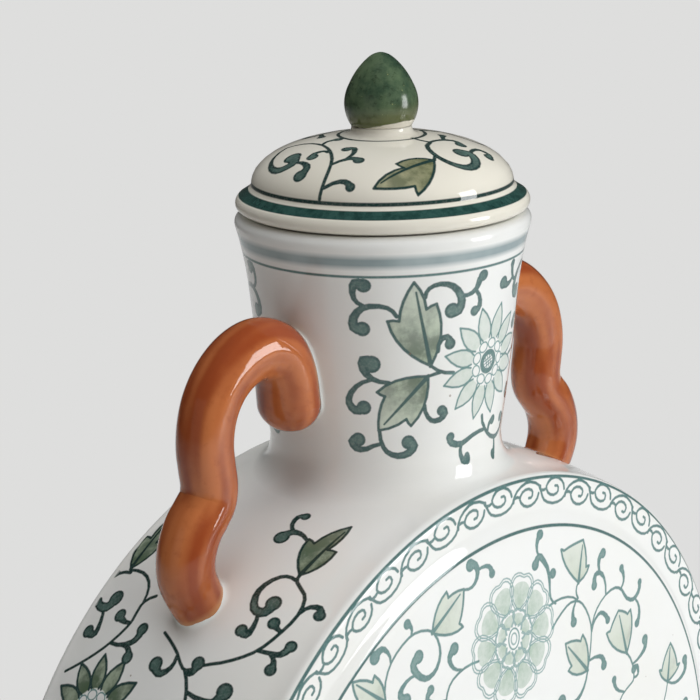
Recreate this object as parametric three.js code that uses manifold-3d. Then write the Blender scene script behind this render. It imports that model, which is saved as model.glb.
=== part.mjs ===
// Lidded moon flask in glazed porcelain: a flat round body luted from two moulded halves, on an oval
// foot ring, with a flared neck, a pair of crook handles and a domed lid that lifts off.
// Millimetres, +Z up. The origin is under the middle of the foot, X runs from handle to handle and
// Y runs through the two flat faces.

import * as THREE from "three";
import { mergeVertices } from "three/addons/utils/BufferGeometryUtils.js";
import Module from "manifold-3d";

const wasm = await Module();
wasm.setup();

// Joints between pieces
const luteGap = 0.3; // slip joint between two pieces that are fired together
const lidSeatGap = 0.3; // lid resting on the neck rim
const lidPlay = 1.6; // radial play of the lid's locating ring inside the neck

// Round body, a profile turned about the Y axis
const rimRadius = 120.5; // on the middle plane, where the halves meet
const edgeRadius = 116.3; // where the rim band ends
const bandHalfWidth = 36.8; // from the middle plane to the end of the rim band
const cornerReach = 3.1; // how far the rounded corner runs in from the band
const cornerDepth = 2.8; // how far the rounded corner runs along Y
const panelRadius = 102; // raised round panel on each face
const borderRise = 0.35; // from the rounded corner across the flat border to the panel's step
const panelStep = 1.55; // height of the step from the border up to the panel
const panelStepWidth = 4;
const panelCrown = 4; // doming of the panel from its edge to its middle
const bodyWall = 5;

// Foot ring
const footHeight = 10.5; // clearance under the body at the middle
const footHalfLength = 57; // along X, at the floor
const footHalfWidth = 33; // along Y, at the floor
const footSplay = 5.5; // how much wider the foot is at the floor than at its top
const footWall = 6;
const footSquareness = 2.5; // exponent of the oval outline: 2 is an ellipse
const footOverlap = 1.7; // how far the foot's ends run into the body, before they are cut

// Neck, a profile turned about the Z axis
const neckHeight = 65.7; // from the top of the rim band to the mouth
const neckThroatRadius = 32.2; // narrowest place, just above the body
const neckThroatRise = 3.5; // of the throat above the rim band
const neckWaistRadius = 35.3;
const neckWaistRise = 28;
const neckSwellRadius = 37.8;
const neckSwellDrop = 14.7; // of the swell below the mouth
const neckRimRadius = 40.1; // also the lid's
const neckLip = 4; // height of the rounded lip
const neckLipRound = 0.9; // how far the lip rounds in at the mouth
const neckWall = 5.2;
const neckFlare = 6; // how far the neck spreads onto the body

// Lid
const lidEdge = 4.2; // height of the rounded edge below the sloping shoulder
const lidEdgeTuck = 0.9; // how far the edge draws in at the seat
const lidShoulderRise = 7.1; // from the seat to where the dome begins
const lidShoulderWidth = 4.4; // from the lid's edge in to the dome
const lidDomeRise = 13.6; // from the shoulder to the foot of the collar
const lidDomeFullness = 2.15; // exponent of the dome's outline: 2 is an ellipse
const lidWall = 6;
const collarRadius = 8.3; // white collar under the finial
const collarFlare = 2; // how far the collar spreads onto the dome
const collarHeight = 2;
const locatingRingDepth = 11;
const locatingRingWall = 4.5;

// Bud finial, heights above its own base
const budBaseRadius = 8.2;
const budRadius = 10.05;
const budWidestRise = 4.8;
const budShoulderRadius = 7.5;
const budShoulderRise = 12.3;
const budTipRadius = 2.4;
const budHeight = 19.2;

// Crook handles, each a rod that stands on the body, arches over and lies down the side of the neck.
// Points of its centreline are pairs of a distance out and a height.
const handleRadius = 7.5;
const handleSwell = [
  [-0.7, -1.1],
  [0.2, 0.1],
  [0.1, 0.2],
  [-0.1, 0],
  [0, 0],
  [0.2, 0.1],
  [0.7, 0.3],
  [0.5, 0.8],
  [0.1, 1.1],
]; // added to the radius in the handle's plane and across it, at even places from foot to terminal
const handleCap = 7.5; // length of the rounded terminal
const handleFootOut = 73.7; // from the neck's axis to the rod's foot
const handleLeg = [
  [-3.1, -6.8],
  [2.5, 2.7],
  [4.4, 7.7],
  [4.2, 13.2],
  [1.5, 19.3],
  [-1.4, 22.6],
]; // out from the rod's foot, above the body there
const handleArch = [
  [-4, -2.8],
  [-4.7, 1],
  [-4.1, 6],
  [-3.6, 11],
  [-4.2, 16.6],
  [-6.3, 22.4],
  [-10.5, 27.8],
  [-16.7, 31.8],
  [-23.9, 33.2],
]; // out from the rod's foot, above the throat of the neck
const handleTerminal = [
  [8.1, 30.8],
  [4.7, 25],
  [3.6, 17.5],
  [3.5, 15.9],
]; // out from the neck's waist, above its throat

// Facets
const bodySides = 60;
const neckSides = 48;
const lidSides = 48;
const footSides = 40;
const handleSides = 12;
const handleSteps = 38;
const handleCapSteps = 3;
const curveSteps = 3; // of a curve that shows
const insideSteps = 2; // of a curve inside the body or the neck

// Heights that follow from the sizes above
const bodyZ = footHeight + rimRadius;
const bandTopZ = bodyZ + rimRadius;
const throatZ = bandTopZ + neckThroatRise;
const mouthZ = bandTopZ + neckHeight;
const footTopZ = bodyZ - Math.sqrt(rimRadius ** 2 - footHalfLength ** 2) + footOverlap;
const handleFootZ = bodyZ + Math.sqrt(rimRadius ** 2 - handleFootOut ** 2);
const lidSeatZ = mouthZ + lidSeatGap;
const lidShoulderZ = lidSeatZ + lidShoulderRise;
const collarFootZ = lidShoulderZ + lidDomeRise;
const collarTopZ = collarFootZ + collarHeight;
const budBaseZ = collarTopZ + luteGap;
const throatBore = neckThroatRadius - neckWall;
const mouthRadius = neckRimRadius - neckLipRound - neckWall;
const locatingRingRadius = mouthRadius - lidPlay;

// Glazes
const whiteGlaze = { color: 0xeeece6, roughness: 0.12, metalness: 0 };
const rustGlaze = { color: 0xb4623a, roughness: 0.14, metalness: 0 };
const greenGlaze = { color: 0x33513f, roughness: 0.12, metalness: 0 };

// Solids and meshes

function solidOf(geometry) {
  const bare = geometry.clone();
  bare.deleteAttribute("normal");
  bare.deleteAttribute("uv");
  const merged = mergeVertices(bare, 1e-4);
  const vertProperties = new Float32Array(merged.attributes.position.array);
  const triVerts = new Uint32Array(merged.index.array);
  return new wasm.Manifold(new wasm.Mesh({ numProp: 3, vertProperties, triVerts }));
}

function meshOf(name, shape, glaze) {
  let geometry = shape;
  if (!shape.isBufferGeometry) {
    const { vertProperties, triVerts } = shape.getMesh();
    geometry = new THREE.BufferGeometry();
    geometry.setAttribute("position", new THREE.BufferAttribute(vertProperties, 3));
    geometry.setIndex(new THREE.BufferAttribute(triVerts, 1));
    geometry.computeVertexNormals();
  }
  const mesh = new THREE.Mesh(geometry, new THREE.MeshStandardMaterial(glaze));
  mesh.name = name;
  return mesh;
}

// A profile of (radius, height) points turned about the Z axis.
function turnedAboutZ(points, sides) {
  return new THREE.LatheGeometry(points, sides).rotateX(Math.PI / 2);
}

// Closed loops of equally many points, skinned in order. The skin closes on its first loop, or on a
// point at each end.
function skin(loops, endPoints) {
  const count = loops[0].length;
  const points = loops.flat();
  const index = [];
  const rows = endPoints ? loops.length - 1 : loops.length;
  for (let row = 0; row < rows; row++) {
    const here = row * count;
    const next = ((row + 1) % loops.length) * count;
    for (let i = 0; i < count; i++) {
      const j = (i + 1) % count;
      index.push(here + i, here + j, next + j, here + i, next + j, next + i);
    }
  }
  if (endPoints) {
    const first = points.push(endPoints[0]) - 1;
    const last = points.push(endPoints[1]) - 1;
    const lastRow = (loops.length - 1) * count;
    for (let i = 0; i < count; i++) {
      const j = (i + 1) % count;
      index.push(first, j, i, last, lastRow + i, lastRow + j);
    }
  }
  return new THREE.BufferGeometry().setFromPoints(points).setIndex(index);
}

// Body

// Half of the body's outline, from the middle plane of the rim to the middle of a face, as points of
// (radius, distance from the middle plane). It is grown or, for the cavity, shrunk all round.
function bodyOutline(grow, steps = curveSteps) {
  const edge = edgeRadius + grow;
  const bandEnd = bandHalfWidth + grow;
  const bevelStart = new THREE.Vector2(edge - cornerReach, bandEnd + cornerDepth);
  const borderEndY = bevelStart.y + borderRise;
  const panelEdgeY = borderEndY + panelStep;
  const panelEdge = panelRadius + grow;
  const outline = new THREE.Path();
  outline.moveTo(rimRadius + grow, 0);
  outline.quadraticCurveTo(rimRadius + grow, bandEnd / 2, edge, bandEnd);
  outline.quadraticCurveTo(edge, bevelStart.y, bevelStart.x, bevelStart.y);
  outline.lineTo(panelEdge + panelStepWidth, borderEndY);
  outline.lineTo(panelEdge, panelEdgeY);
  outline.quadraticCurveTo(panelEdge / 2, panelEdgeY + panelCrown, 0, panelEdgeY + panelCrown);
  return outline.getPoints(steps);
}

function filledBody(grow) {
  const half = bodyOutline(grow);
  const otherHalf = half.slice(1).map((p) => new THREE.Vector2(p.x, -p.y));
  const outline = [...otherHalf.reverse(), ...half];
  return solidOf(new THREE.LatheGeometry(outline, bodySides).translate(0, 0, bodyZ));
}

// One moulded half: a dish with a half-round notch in its rim for the neck's bore.
function bodyHalf(side) {
  const outer = bodyOutline(0);
  const inner = bodyOutline(-bodyWall, insideSteps).reverse();
  const section = [...inner, ...outer].map((p) => new THREE.Vector2(p.x, side * p.y));
  if (side < 0) section.reverse();
  const dish = new THREE.LatheGeometry(section, bodySides).translate(0, 0, bodyZ);
  const boreLength = rimRadius;
  const bore = new THREE.CylinderGeometry(throatBore, throatBore, boreLength, neckSides);
  bore.rotateX(Math.PI / 2).translate(0, 0, bandTopZ);
  return solidOf(dish).subtract(solidOf(bore));
}

// Foot ring

function ovalLoop(halfLength, halfWidth, z) {
  const loop = [];
  for (let i = 0; i < footSides; i++) {
    const angle = (2 * Math.PI * i) / footSides;
    const c = Math.cos(angle);
    const s = Math.sin(angle);
    const x = halfLength * Math.sign(c) * Math.abs(c) ** (2 / footSquareness);
    const y = halfWidth * Math.sign(s) * Math.abs(s) ** (2 / footSquareness);
    loop.push(new THREE.Vector3(x, y, z));
  }
  return loop;
}

function footRing(bodyCut) {
  const loops = [];
  for (let step = 0; step <= curveSteps; step++) {
    const t = step / curveSteps;
    const drawnIn = footSplay * (1 - (1 - t) ** 2);
    loops.push(ovalLoop(footHalfLength - drawnIn, footHalfWidth - drawnIn, footTopZ * t));
  }
  const inside = footSplay + footWall;
  loops.push(ovalLoop(footHalfLength - inside, footHalfWidth - inside, footTopZ));
  loops.push(ovalLoop(footHalfLength - footWall, footHalfWidth - footWall, 0));
  return solidOf(skin(loops)).subtract(bodyCut);
}

// Neck

// Side of the neck from the throat to the lip, grown all round.
function neckSide(grow, steps = curveSteps) {
  const at = (radius, z) => new THREE.Vector2(radius + grow, z);
  const side = new THREE.SplineCurve([
    at(neckThroatRadius, throatZ),
    at(neckWaistRadius, bandTopZ + neckWaistRise),
    at(neckSwellRadius, mouthZ - neckSwellDrop),
    at(neckRimRadius, mouthZ - neckLip),
  ]);
  return side.getPoints(3 * steps);
}

// The flared foot of the neck, which runs below the rim band so that the body can cut it to fit.
function neckSpread(grow) {
  const spread = new THREE.Path();
  const footRadius = neckThroatRadius + neckFlare + grow;
  const footZ = bandTopZ - neckFlare;
  spread.moveTo(footRadius, footZ);
  spread.quadraticCurveTo(neckThroatRadius + grow, footZ + neckFlare / 2, neckThroatRadius + grow, throatZ);
  return spread.getPoints(curveSteps);
}

function neck(bodyCut) {
  const lip = new THREE.Path();
  lip.moveTo(neckRimRadius, mouthZ - neckLip);
  lip.quadraticCurveTo(neckRimRadius + neckLipRound / 2, mouthZ, neckRimRadius - neckLipRound, mouthZ);
  const bottomZ = bandTopZ - 2 * neckFlare;
  const outside = [
    new THREE.Vector2(neckThroatRadius + neckFlare, bottomZ),
    ...neckSpread(0),
    ...neckSide(0).slice(1),
    ...lip.getPoints(curveSteps).slice(1),
  ];
  const inside = [
    new THREE.Vector2(mouthRadius, mouthZ),
    ...neckSide(-neckWall, insideSteps).reverse(),
    new THREE.Vector2(throatBore, bottomZ),
  ];
  const ring = [...outside, ...inside, outside[0]];
  return solidOf(turnedAboutZ(ring, neckSides)).subtract(bodyCut);
}

// The neck without its bore, grown by the slip joint, for cutting the handles to fit.
function neckCut() {
  const side = [...neckSpread(luteGap), ...neckSide(luteGap).slice(1)];
  const bottom = new THREE.Vector2(0, side[0].y);
  const top = new THREE.Vector2(0, side[side.length - 1].y);
  return solidOf(turnedAboutZ([bottom, ...side, top], neckSides));
}

// Handles

function handleLine(side) {
  const points = [
    ...handleLeg.map(([out, rise]) => [handleFootOut + out, handleFootZ + rise]),
    ...handleArch.map(([out, rise]) => [handleFootOut + out, throatZ + rise]),
    ...handleTerminal.map(([out, rise]) => [neckWaistRadius + out, throatZ + rise]),
  ];
  const line = points.map(([out, z]) => new THREE.Vector3(side * out, 0, z));
  return new THREE.CatmullRomCurve3(line, false, "centripetal");
}

// A hand-rolled rod along the centreline. Its lower end is cut by the body and its upper end is a
// rounded terminal, which the neck cuts.
function handle(side, cuts) {
  const line = handleLine(side);
  const across = new THREE.Vector3(0, side, 0);
  const sizes = new THREE.SplineCurve(
    handleSwell.map(([thicker, wider]) => new THREE.Vector2(handleRadius + thicker, handleRadius + wider)),
  );
  const ring = (centre, tangent, size) => {
    const inward = new THREE.Vector3().crossVectors(tangent, across);
    const loop = [];
    for (let i = 0; i < handleSides; i++) {
      const angle = (2 * Math.PI * i) / handleSides;
      const point = centre.clone().addScaledVector(across, size.y * Math.cos(angle));
      loop.push(point.addScaledVector(inward, size.x * Math.sin(angle)));
    }
    return loop;
  };
  const loops = [];
  for (let step = 0; step <= handleSteps; step++) {
    const t = step / handleSteps;
    loops.push(ring(line.getPointAt(t), line.getTangentAt(t), sizes.getPoint(t)));
  }
  const end = line.getPointAt(1);
  const ahead = line.getTangentAt(1);
  for (let step = 1; step < handleCapSteps; step++) {
    const angle = (Math.PI / 2) * (step / handleCapSteps);
    const centre = end.clone().addScaledVector(ahead, handleCap * Math.sin(angle));
    loops.push(ring(centre, ahead, sizes.getPoint(1).multiplyScalar(Math.cos(angle))));
  }
  const tip = end.clone().addScaledVector(ahead, handleCap);
  const rod = solidOf(skin(loops, [line.getPointAt(0), tip]));
  return cuts.reduce((shape, cut) => shape.subtract(cut), rod);
}

// Lid

// Outline of a dome that rises from (radius, footZ) by its rise, from its foot towards the axis as far
// as the stop radius.
function domeOutline(radius, footZ, rise, stopRadius) {
  const points = [];
  const steps = 2 * curveSteps;
  const stopAngle = Math.acos((stopRadius / radius) ** (lidDomeFullness / 2));
  for (let step = 0; step <= steps; step++) {
    const angle = (stopAngle * step) / steps;
    const across = Math.cos(angle) ** (2 / lidDomeFullness);
    const up = Math.sin(angle) ** (2 / lidDomeFullness);
    points.push(new THREE.Vector2(radius * across, footZ + rise * up));
  }
  return points;
}

function lidCover() {
  const landRadius = locatingRingRadius - locatingRingWall;
  const edge = new THREE.Path();
  const tucked = neckRimRadius - lidEdgeTuck;
  const nose = neckRimRadius + lidEdgeTuck;
  edge.moveTo(tucked, lidSeatZ);
  edge.quadraticCurveTo(nose, lidSeatZ + lidEdge / 2, tucked, lidSeatZ + lidEdge);
  const collarFoot = collarRadius + collarFlare;
  const collar = new THREE.Path();
  collar.moveTo(collarFoot, collarFootZ);
  collar.quadraticCurveTo(collarRadius, collarFootZ, collarRadius, collarTopZ);
  const outside = [
    ...edge.getPoints(curveSteps),
    ...domeOutline(neckRimRadius - lidShoulderWidth, lidShoulderZ, lidDomeRise, collarFoot),
    ...collar.getPoints(curveSteps).slice(1),
  ];
  const innerRise = collarFootZ - lidWall - lidSeatZ;
  const inside = domeOutline(landRadius, lidSeatZ, innerRise, 0);
  const section = [...inside.reverse(), ...outside, new THREE.Vector2(0, collarTopZ)];
  return turnedAboutZ(section, lidSides);
}

function locatingRing() {
  const topZ = lidSeatZ - luteGap;
  const bottomZ = lidSeatZ - locatingRingDepth;
  const bore = locatingRingRadius - locatingRingWall;
  const foot = locatingRingWall / 3; // rounding at the lower edge
  const section = [
    new THREE.Vector2(bore, bottomZ + foot),
    new THREE.Vector2(bore + foot, bottomZ),
    new THREE.Vector2(locatingRingRadius - foot, bottomZ),
    new THREE.Vector2(locatingRingRadius, bottomZ + foot),
    new THREE.Vector2(locatingRingRadius, topZ),
    new THREE.Vector2(bore, topZ),
  ];
  return turnedAboutZ([...section, section[0]], lidSides);
}

function finial() {
  const at = (radius, rise) => new THREE.Vector2(radius, budBaseZ + rise);
  const bud = new THREE.SplineCurve([
    at(budBaseRadius, 0),
    at(budRadius, budWidestRise),
    at(budShoulderRadius, budShoulderRise),
    at(budTipRadius, budHeight - budTipRadius / 2),
    at(0, budHeight),
  ]);
  return turnedAboutZ([at(0, 0), ...bud.getPoints(4 * curveSteps)], lidSides / 2);
}

// Assembly

const bodyCut = filledBody(luteGap);
const handleCuts = [bodyCut, neckCut()];

const flask = new THREE.Group();
flask.add(
  meshOf("body_front_half", bodyHalf(-1), whiteGlaze),
  meshOf("body_back_half", bodyHalf(1), whiteGlaze),
  meshOf("foot_ring", footRing(bodyCut), whiteGlaze),
  meshOf("neck", neck(bodyCut), whiteGlaze),
  meshOf("left_handle", handle(-1, handleCuts), rustGlaze),
  meshOf("right_handle", handle(1, handleCuts), rustGlaze),
);

const lid = new THREE.Group();
lid.add(
  meshOf("lid_cover", lidCover(), whiteGlaze),
  meshOf("lid_locating_ring", locatingRing(), whiteGlaze),
  meshOf("bud_finial", finial(), greenGlaze),
);
flask.add(lid);

export default flask;
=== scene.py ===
"""Looks of a lidded moon flask in white glaze with a green lotus scroll and rust handles.

Shapes are worked out in millimetres in the part's own frame and built in metres. Each painted surface
is a flat sheet that is cut into triangles along its brush strokes and then wrapped onto the pot.
"""

import math

import bpy
import numpy as np
from mathutils import Matrix, Vector, kdtree
from mathutils.geometry import delaunay_2d_cdt


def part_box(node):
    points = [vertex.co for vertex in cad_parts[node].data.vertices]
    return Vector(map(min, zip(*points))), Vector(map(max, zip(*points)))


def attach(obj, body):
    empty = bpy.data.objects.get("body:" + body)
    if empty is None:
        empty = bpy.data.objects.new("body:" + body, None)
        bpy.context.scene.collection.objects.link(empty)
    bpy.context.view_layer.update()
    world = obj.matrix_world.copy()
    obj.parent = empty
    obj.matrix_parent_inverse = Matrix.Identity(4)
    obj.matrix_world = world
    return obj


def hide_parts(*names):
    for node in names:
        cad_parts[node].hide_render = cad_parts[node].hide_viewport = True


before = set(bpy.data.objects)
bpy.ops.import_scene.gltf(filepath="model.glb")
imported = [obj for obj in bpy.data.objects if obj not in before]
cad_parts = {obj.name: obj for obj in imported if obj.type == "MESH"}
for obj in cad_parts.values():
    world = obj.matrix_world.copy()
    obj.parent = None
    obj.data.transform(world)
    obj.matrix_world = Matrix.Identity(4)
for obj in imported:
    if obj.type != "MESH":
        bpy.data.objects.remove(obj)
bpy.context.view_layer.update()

MM = 0.001
DEG = math.pi / 180


def node_box(node):
    """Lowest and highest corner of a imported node, in millimetres."""
    low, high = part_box(node)
    return np.array(low) / MM, np.array(high) / MM


BODY_LOW, BODY_HIGH = node_box("body_front_half")
LID_LOW, LID_HIGH = node_box("lid_cover")
RING_LOW, RING_HIGH = node_box("lid_locating_ring")
MOUTH_Z = node_box("neck")[1][2]
BUD_TOP = node_box("bud_finial")[1][2]
FOOT_HALF = node_box("foot_ring")[1][:2]

# Round body, turned about the Y axis
RIM_R = (BODY_HIGH[0] - BODY_LOW[0]) / 2
BODY_Z = (BODY_HIGH[2] + BODY_LOW[2]) / 2
FACE_Y = -BODY_LOW[1]  # middle of a face
BAND_HALF = 36.8  # rim band, from the middle plane to its edge
RIM_DROP = 4.2  # how much smaller the band is at its edge
RIM_MEAN = RIM_R - 2  # radius at which the band's sheet is laid out
BODY_WALL = 5.0
LINING_SPACING = 14.0  # between the points of the bare inside
EDGE_STEPS = 240  # points round each edge of the band
PANEL_EDGE = [  # step from the raised panel down to the scroll border, as radius and depth
    (101.2, 41.64), (102.7, 41.28), (103.9, 40.72), (105.0, 40.2),
    (106.4, 39.98), (109.0, 39.85), (113.2, 39.6),
]

# Foot, a splayed oval
FOOT_STEPS = 96
FOOT_FULL = 2.5  # how far the oval fills its box, where 2 is an ellipse

# Neck, turned about the Z axis
THROAT_Z = MOUTH_Z - 62.2
THROAT_R = 32.2
LIP_Z = MOUTH_Z - 4.0
NECK_SIDE = [(32.2, 0), (35.3, 24.5), (37.8, 47.5), (40.1, 58.2)]  # radius, height above the throat
NECK_MEAN = 35.5  # radius at which the neck's sheet is laid out
NECK_WALL = 5.2
BORE_R = 27.0
SKIRT = 10.0  # height of the sheet's strip that spreads onto the body
SKIRT_REACH = 3.6  # how far the strip spreads at the front
SKIRT_MORE = 3.2  # and how much further at the handles
TURN_STEPS = 120  # points round the neck

# Lid
SEAT_Z = LID_LOW[2]
LID_R = 39.2
LID_FOOT_R = 37.2  # where the rounded edge turns under
EDGE_Z = SEAT_Z + 4.2
DOME_R = 35.6
DOME_Z = SEAT_Z + 7.1
DOME_RISE = 13.6
DOME_FULL = 2.15
COLLAR_FOOT_R = 11.0
COLLAR_R = 8.2
COLLAR_Z = LID_HIGH[2]
HOLLOW_RISE = 14.7  # height of the hollow under the dome
RING_OUT = RING_HIGH[0]
RING_IN = 27.9
BUD_SIDE = [  # the bud's radius and height above the collar
    (9.4, 2.4), (10.0, 5.6), (9.6, 8.7), (8.4, 11.6), (6.7, 14.5), (4.5, 17.1), (2.4, 18.8),
]

# Handles, with the rod's line from its foot as distance from the axis and height
ROD_LINE = [
    (72.2, 222.8), (76.2, 229.0), (78.1, 234.0), (77.9, 239.5), (75.2, 245.6), (72.3, 248.9), (69.7, 252.2),
    (69.0, 256.0), (69.6, 261.0), (70.1, 266.0), (69.5, 271.6), (67.4, 277.4), (63.2, 282.8), (57.0, 286.8),
    (49.8, 288.2), (43.4, 285.8), (40.0, 280.0), (38.9, 272.5), (38.8, 270.9),
]
ROD_SIZES = [  # half thickness in the handle's plane and half width across it, at even places along the rod
    (7.1, 6.8), (7.7, 7.6), (7.6, 7.7), (7.4, 7.5), (7.5, 7.5),
    (7.7, 7.6), (8.2, 7.9), (8.0, 8.7), (7.6, 9.3),
]
ROD_STREAKS = [  # number round the rod, drift along it, start and strength of its brush streaks
    (2, 7, 0.4, 0.4), (5, 9, 1.9, 0.3), (9, -12, 3.1, 0.2), (14, 16, 5.0, 0.1),
]
ROD_CAP = 7.5  # length of the rounded end
ROD_SIDES = 64
FOOT_TURN = 37.7 * DEG  # where the handle's foot stands on the rim band
PAD_Z = 277.0  # middle of the handle's pad on the neck
RIGHT_DROOP = 1.6  # how much lower the right handle's arch hangs
SEAM_SINK = 0.04  # how deep the edges of the pooled glaze lie in the rod and the pot
SEAM_ROOT = 0.4  # and how deep its root lies
SEAM_SEARCH = 22.0  # how far from its middle the rod's edge on the pot is looked for
SEAM_HALVINGS = 18  # and how often the search is halved

# Brush work
SOFT = 0.22  # width of a stroke's soft edge
BAND_SOFT = 1.5  # width of the soft edge of the grey band under the lip
CHORD = 0.08  # how far a drawn curve may stray from the true one
LONGEST = 3.0  # longest step along a stroke
CORE_HALF = 1.0  # half width from which a stroke has a paler core
BLOB_HALF = 1.05  # and how wide it must be somewhere to have one
CORE_START, CORE_FULL = 0.45, 0.85  # depths between which the dark edge gives way to the core
PALE_INK = 0.3  # strength below which ink also covers less
END_CAP = np.array([(0.71, 0.71), (1.0, 0.0), (0.71, -0.71)])  # round a stroke's end: ahead and aside
DOT_CORE = 0.35  # share of a dot's radius at which its stroke runs
DOT_POINTS = 17
LEAF_LINE = 0.36  # half width of a leaf's outline
ROW_SHARE = 0.866  # from row to row of the free points, in spacings
CLEAR_SHARE = 0.55  # how far free points keep from the strokes, in spacings
BORDER_GAP = 0.25  # how far strokes keep from a sheet's border

# Smallest distances
WELD = 0.001  # points closer than this become one
CUT_GAP = 1e-4  # places on a sheet that are closer than this are one
SAME = 1e-6  # a line whose ends are closer than this is closed
TINY = 1e-9  # keeps a division by nothing from failing


def unit(vectors):
    """The same directions with a length of one."""
    return vectors / (np.linalg.norm(vectors, axis=-1, keepdims=True) + TINY)


def looped(line):
    """A line that returns to its first point."""
    return np.concatenate([line, line[:1]])


def round_steps(count):
    """Angles of even steps once round."""
    return np.arange(count) * 2 * math.pi / count


def compass(angle):
    """The direction at an angle on a sheet, and the one to its left."""
    ahead = np.array([math.cos(angle), math.sin(angle)])
    return ahead, np.array([-ahead[1], ahead[0]])


def around(radius, angle):
    """Plan position at a radius from the Z axis and an angle from the front."""
    return radius * np.sin(angle), -radius * np.cos(angle)


def bend(start, control, end, steps):
    """Points of a quadratic curve."""
    t = np.linspace(0, 1, steps + 1)[:, None]
    start, control, end = (np.array(p, float) for p in (start, control, end))
    return (1 - t) ** 2 * start + 2 * t * (1 - t) * control + t**2 * end


def spline(points, steps=12):
    """A smooth line through points, with a number of steps between each two."""
    points = np.array(points, float)
    if len(points) == 2:
        return points[0] + np.linspace(0, 1, steps + 1)[:, None] * (points[1] - points[0])
    gaps = np.sqrt(np.linalg.norm(np.diff(points, axis=0), axis=1)) + TINY
    knots = np.concatenate([[0], np.cumsum(gaps)])
    slopes = np.gradient(points, knots, axis=0, edge_order=2)
    line = []
    for i, gap in enumerate(gaps):
        t = np.linspace(0, 1, steps, endpoint=False)[:, None]
        line.append(
            (2 * t**3 - 3 * t**2 + 1) * points[i] + (t**3 - 2 * t**2 + t) * gap * slopes[i]
            + (3 * t**2 - 2 * t**3) * points[i + 1] + (t**3 - t**2) * gap * slopes[i + 1]
        )
    return np.concatenate([*line, points[-1:]])


def lengths(line):
    """Length along a line at each of its points."""
    return np.concatenate([[0], np.cumsum(np.linalg.norm(np.diff(line, axis=0), axis=1))])


def thinned(line):
    """A line with only the points its curves need, and each point's place along it from 0 to 1."""
    along = lengths(line)
    steps = np.diff(line, axis=0)
    heading = np.unwrap(np.arctan2(steps[:, 1], steps[:, 0]))
    turning = np.zeros(len(heading))
    if len(heading) > 2:
        turning = np.abs(np.gradient(heading, along[:-1] + TINY))
    density = np.maximum(np.sqrt(turning / (8 * CHORD)), 1 / LONGEST)
    count = np.concatenate([[0], np.cumsum(density * np.diff(along))])
    wanted = np.linspace(0, count[-1], max(2, int(math.ceil(count[-1])) + 1))
    place = np.interp(wanted, count, along)
    return np.stack([np.interp(place, along, line[:, k]) for k in (0, 1)], 1), place / along[-1]


def inside(points, polygon):
    """Which points lie inside a closed polygon."""
    x, y = points[:, 0:1], points[:, 1:2]
    a, b = polygon, np.roll(polygon, -1, axis=0)
    crosses = (a[:, 1] > y) != (b[:, 1] > y)
    rise = np.where(b[:, 1] == a[:, 1], TINY, b[:, 1] - a[:, 1])
    return (crosses & (x < (b[:, 0] - a[:, 0]) * (y - a[:, 1]) / rise + a[:, 0])).sum(1) % 2 == 1


def to_segments(points, start, run):
    """Where along each segment it is nearest to each point, from 0 to 1, and how far away it is there."""
    share = ((points[:, None] - start) * run).sum(2) / np.maximum((run**2).sum(1), TINY**2)
    share = np.clip(share, 0, 1)
    return share, np.linalg.norm(points[:, None] - start - share[..., None] * run, axis=2)


def flat_tree(points):
    """A search tree of places on a sheet."""
    tree = kdtree.KDTree(len(points))
    for i, (x, y) in enumerate(points):
        tree.insert((x, y, 0), i)
    tree.balance()
    return tree


CHANNELS = 7  # kinds of paint at a point


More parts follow.
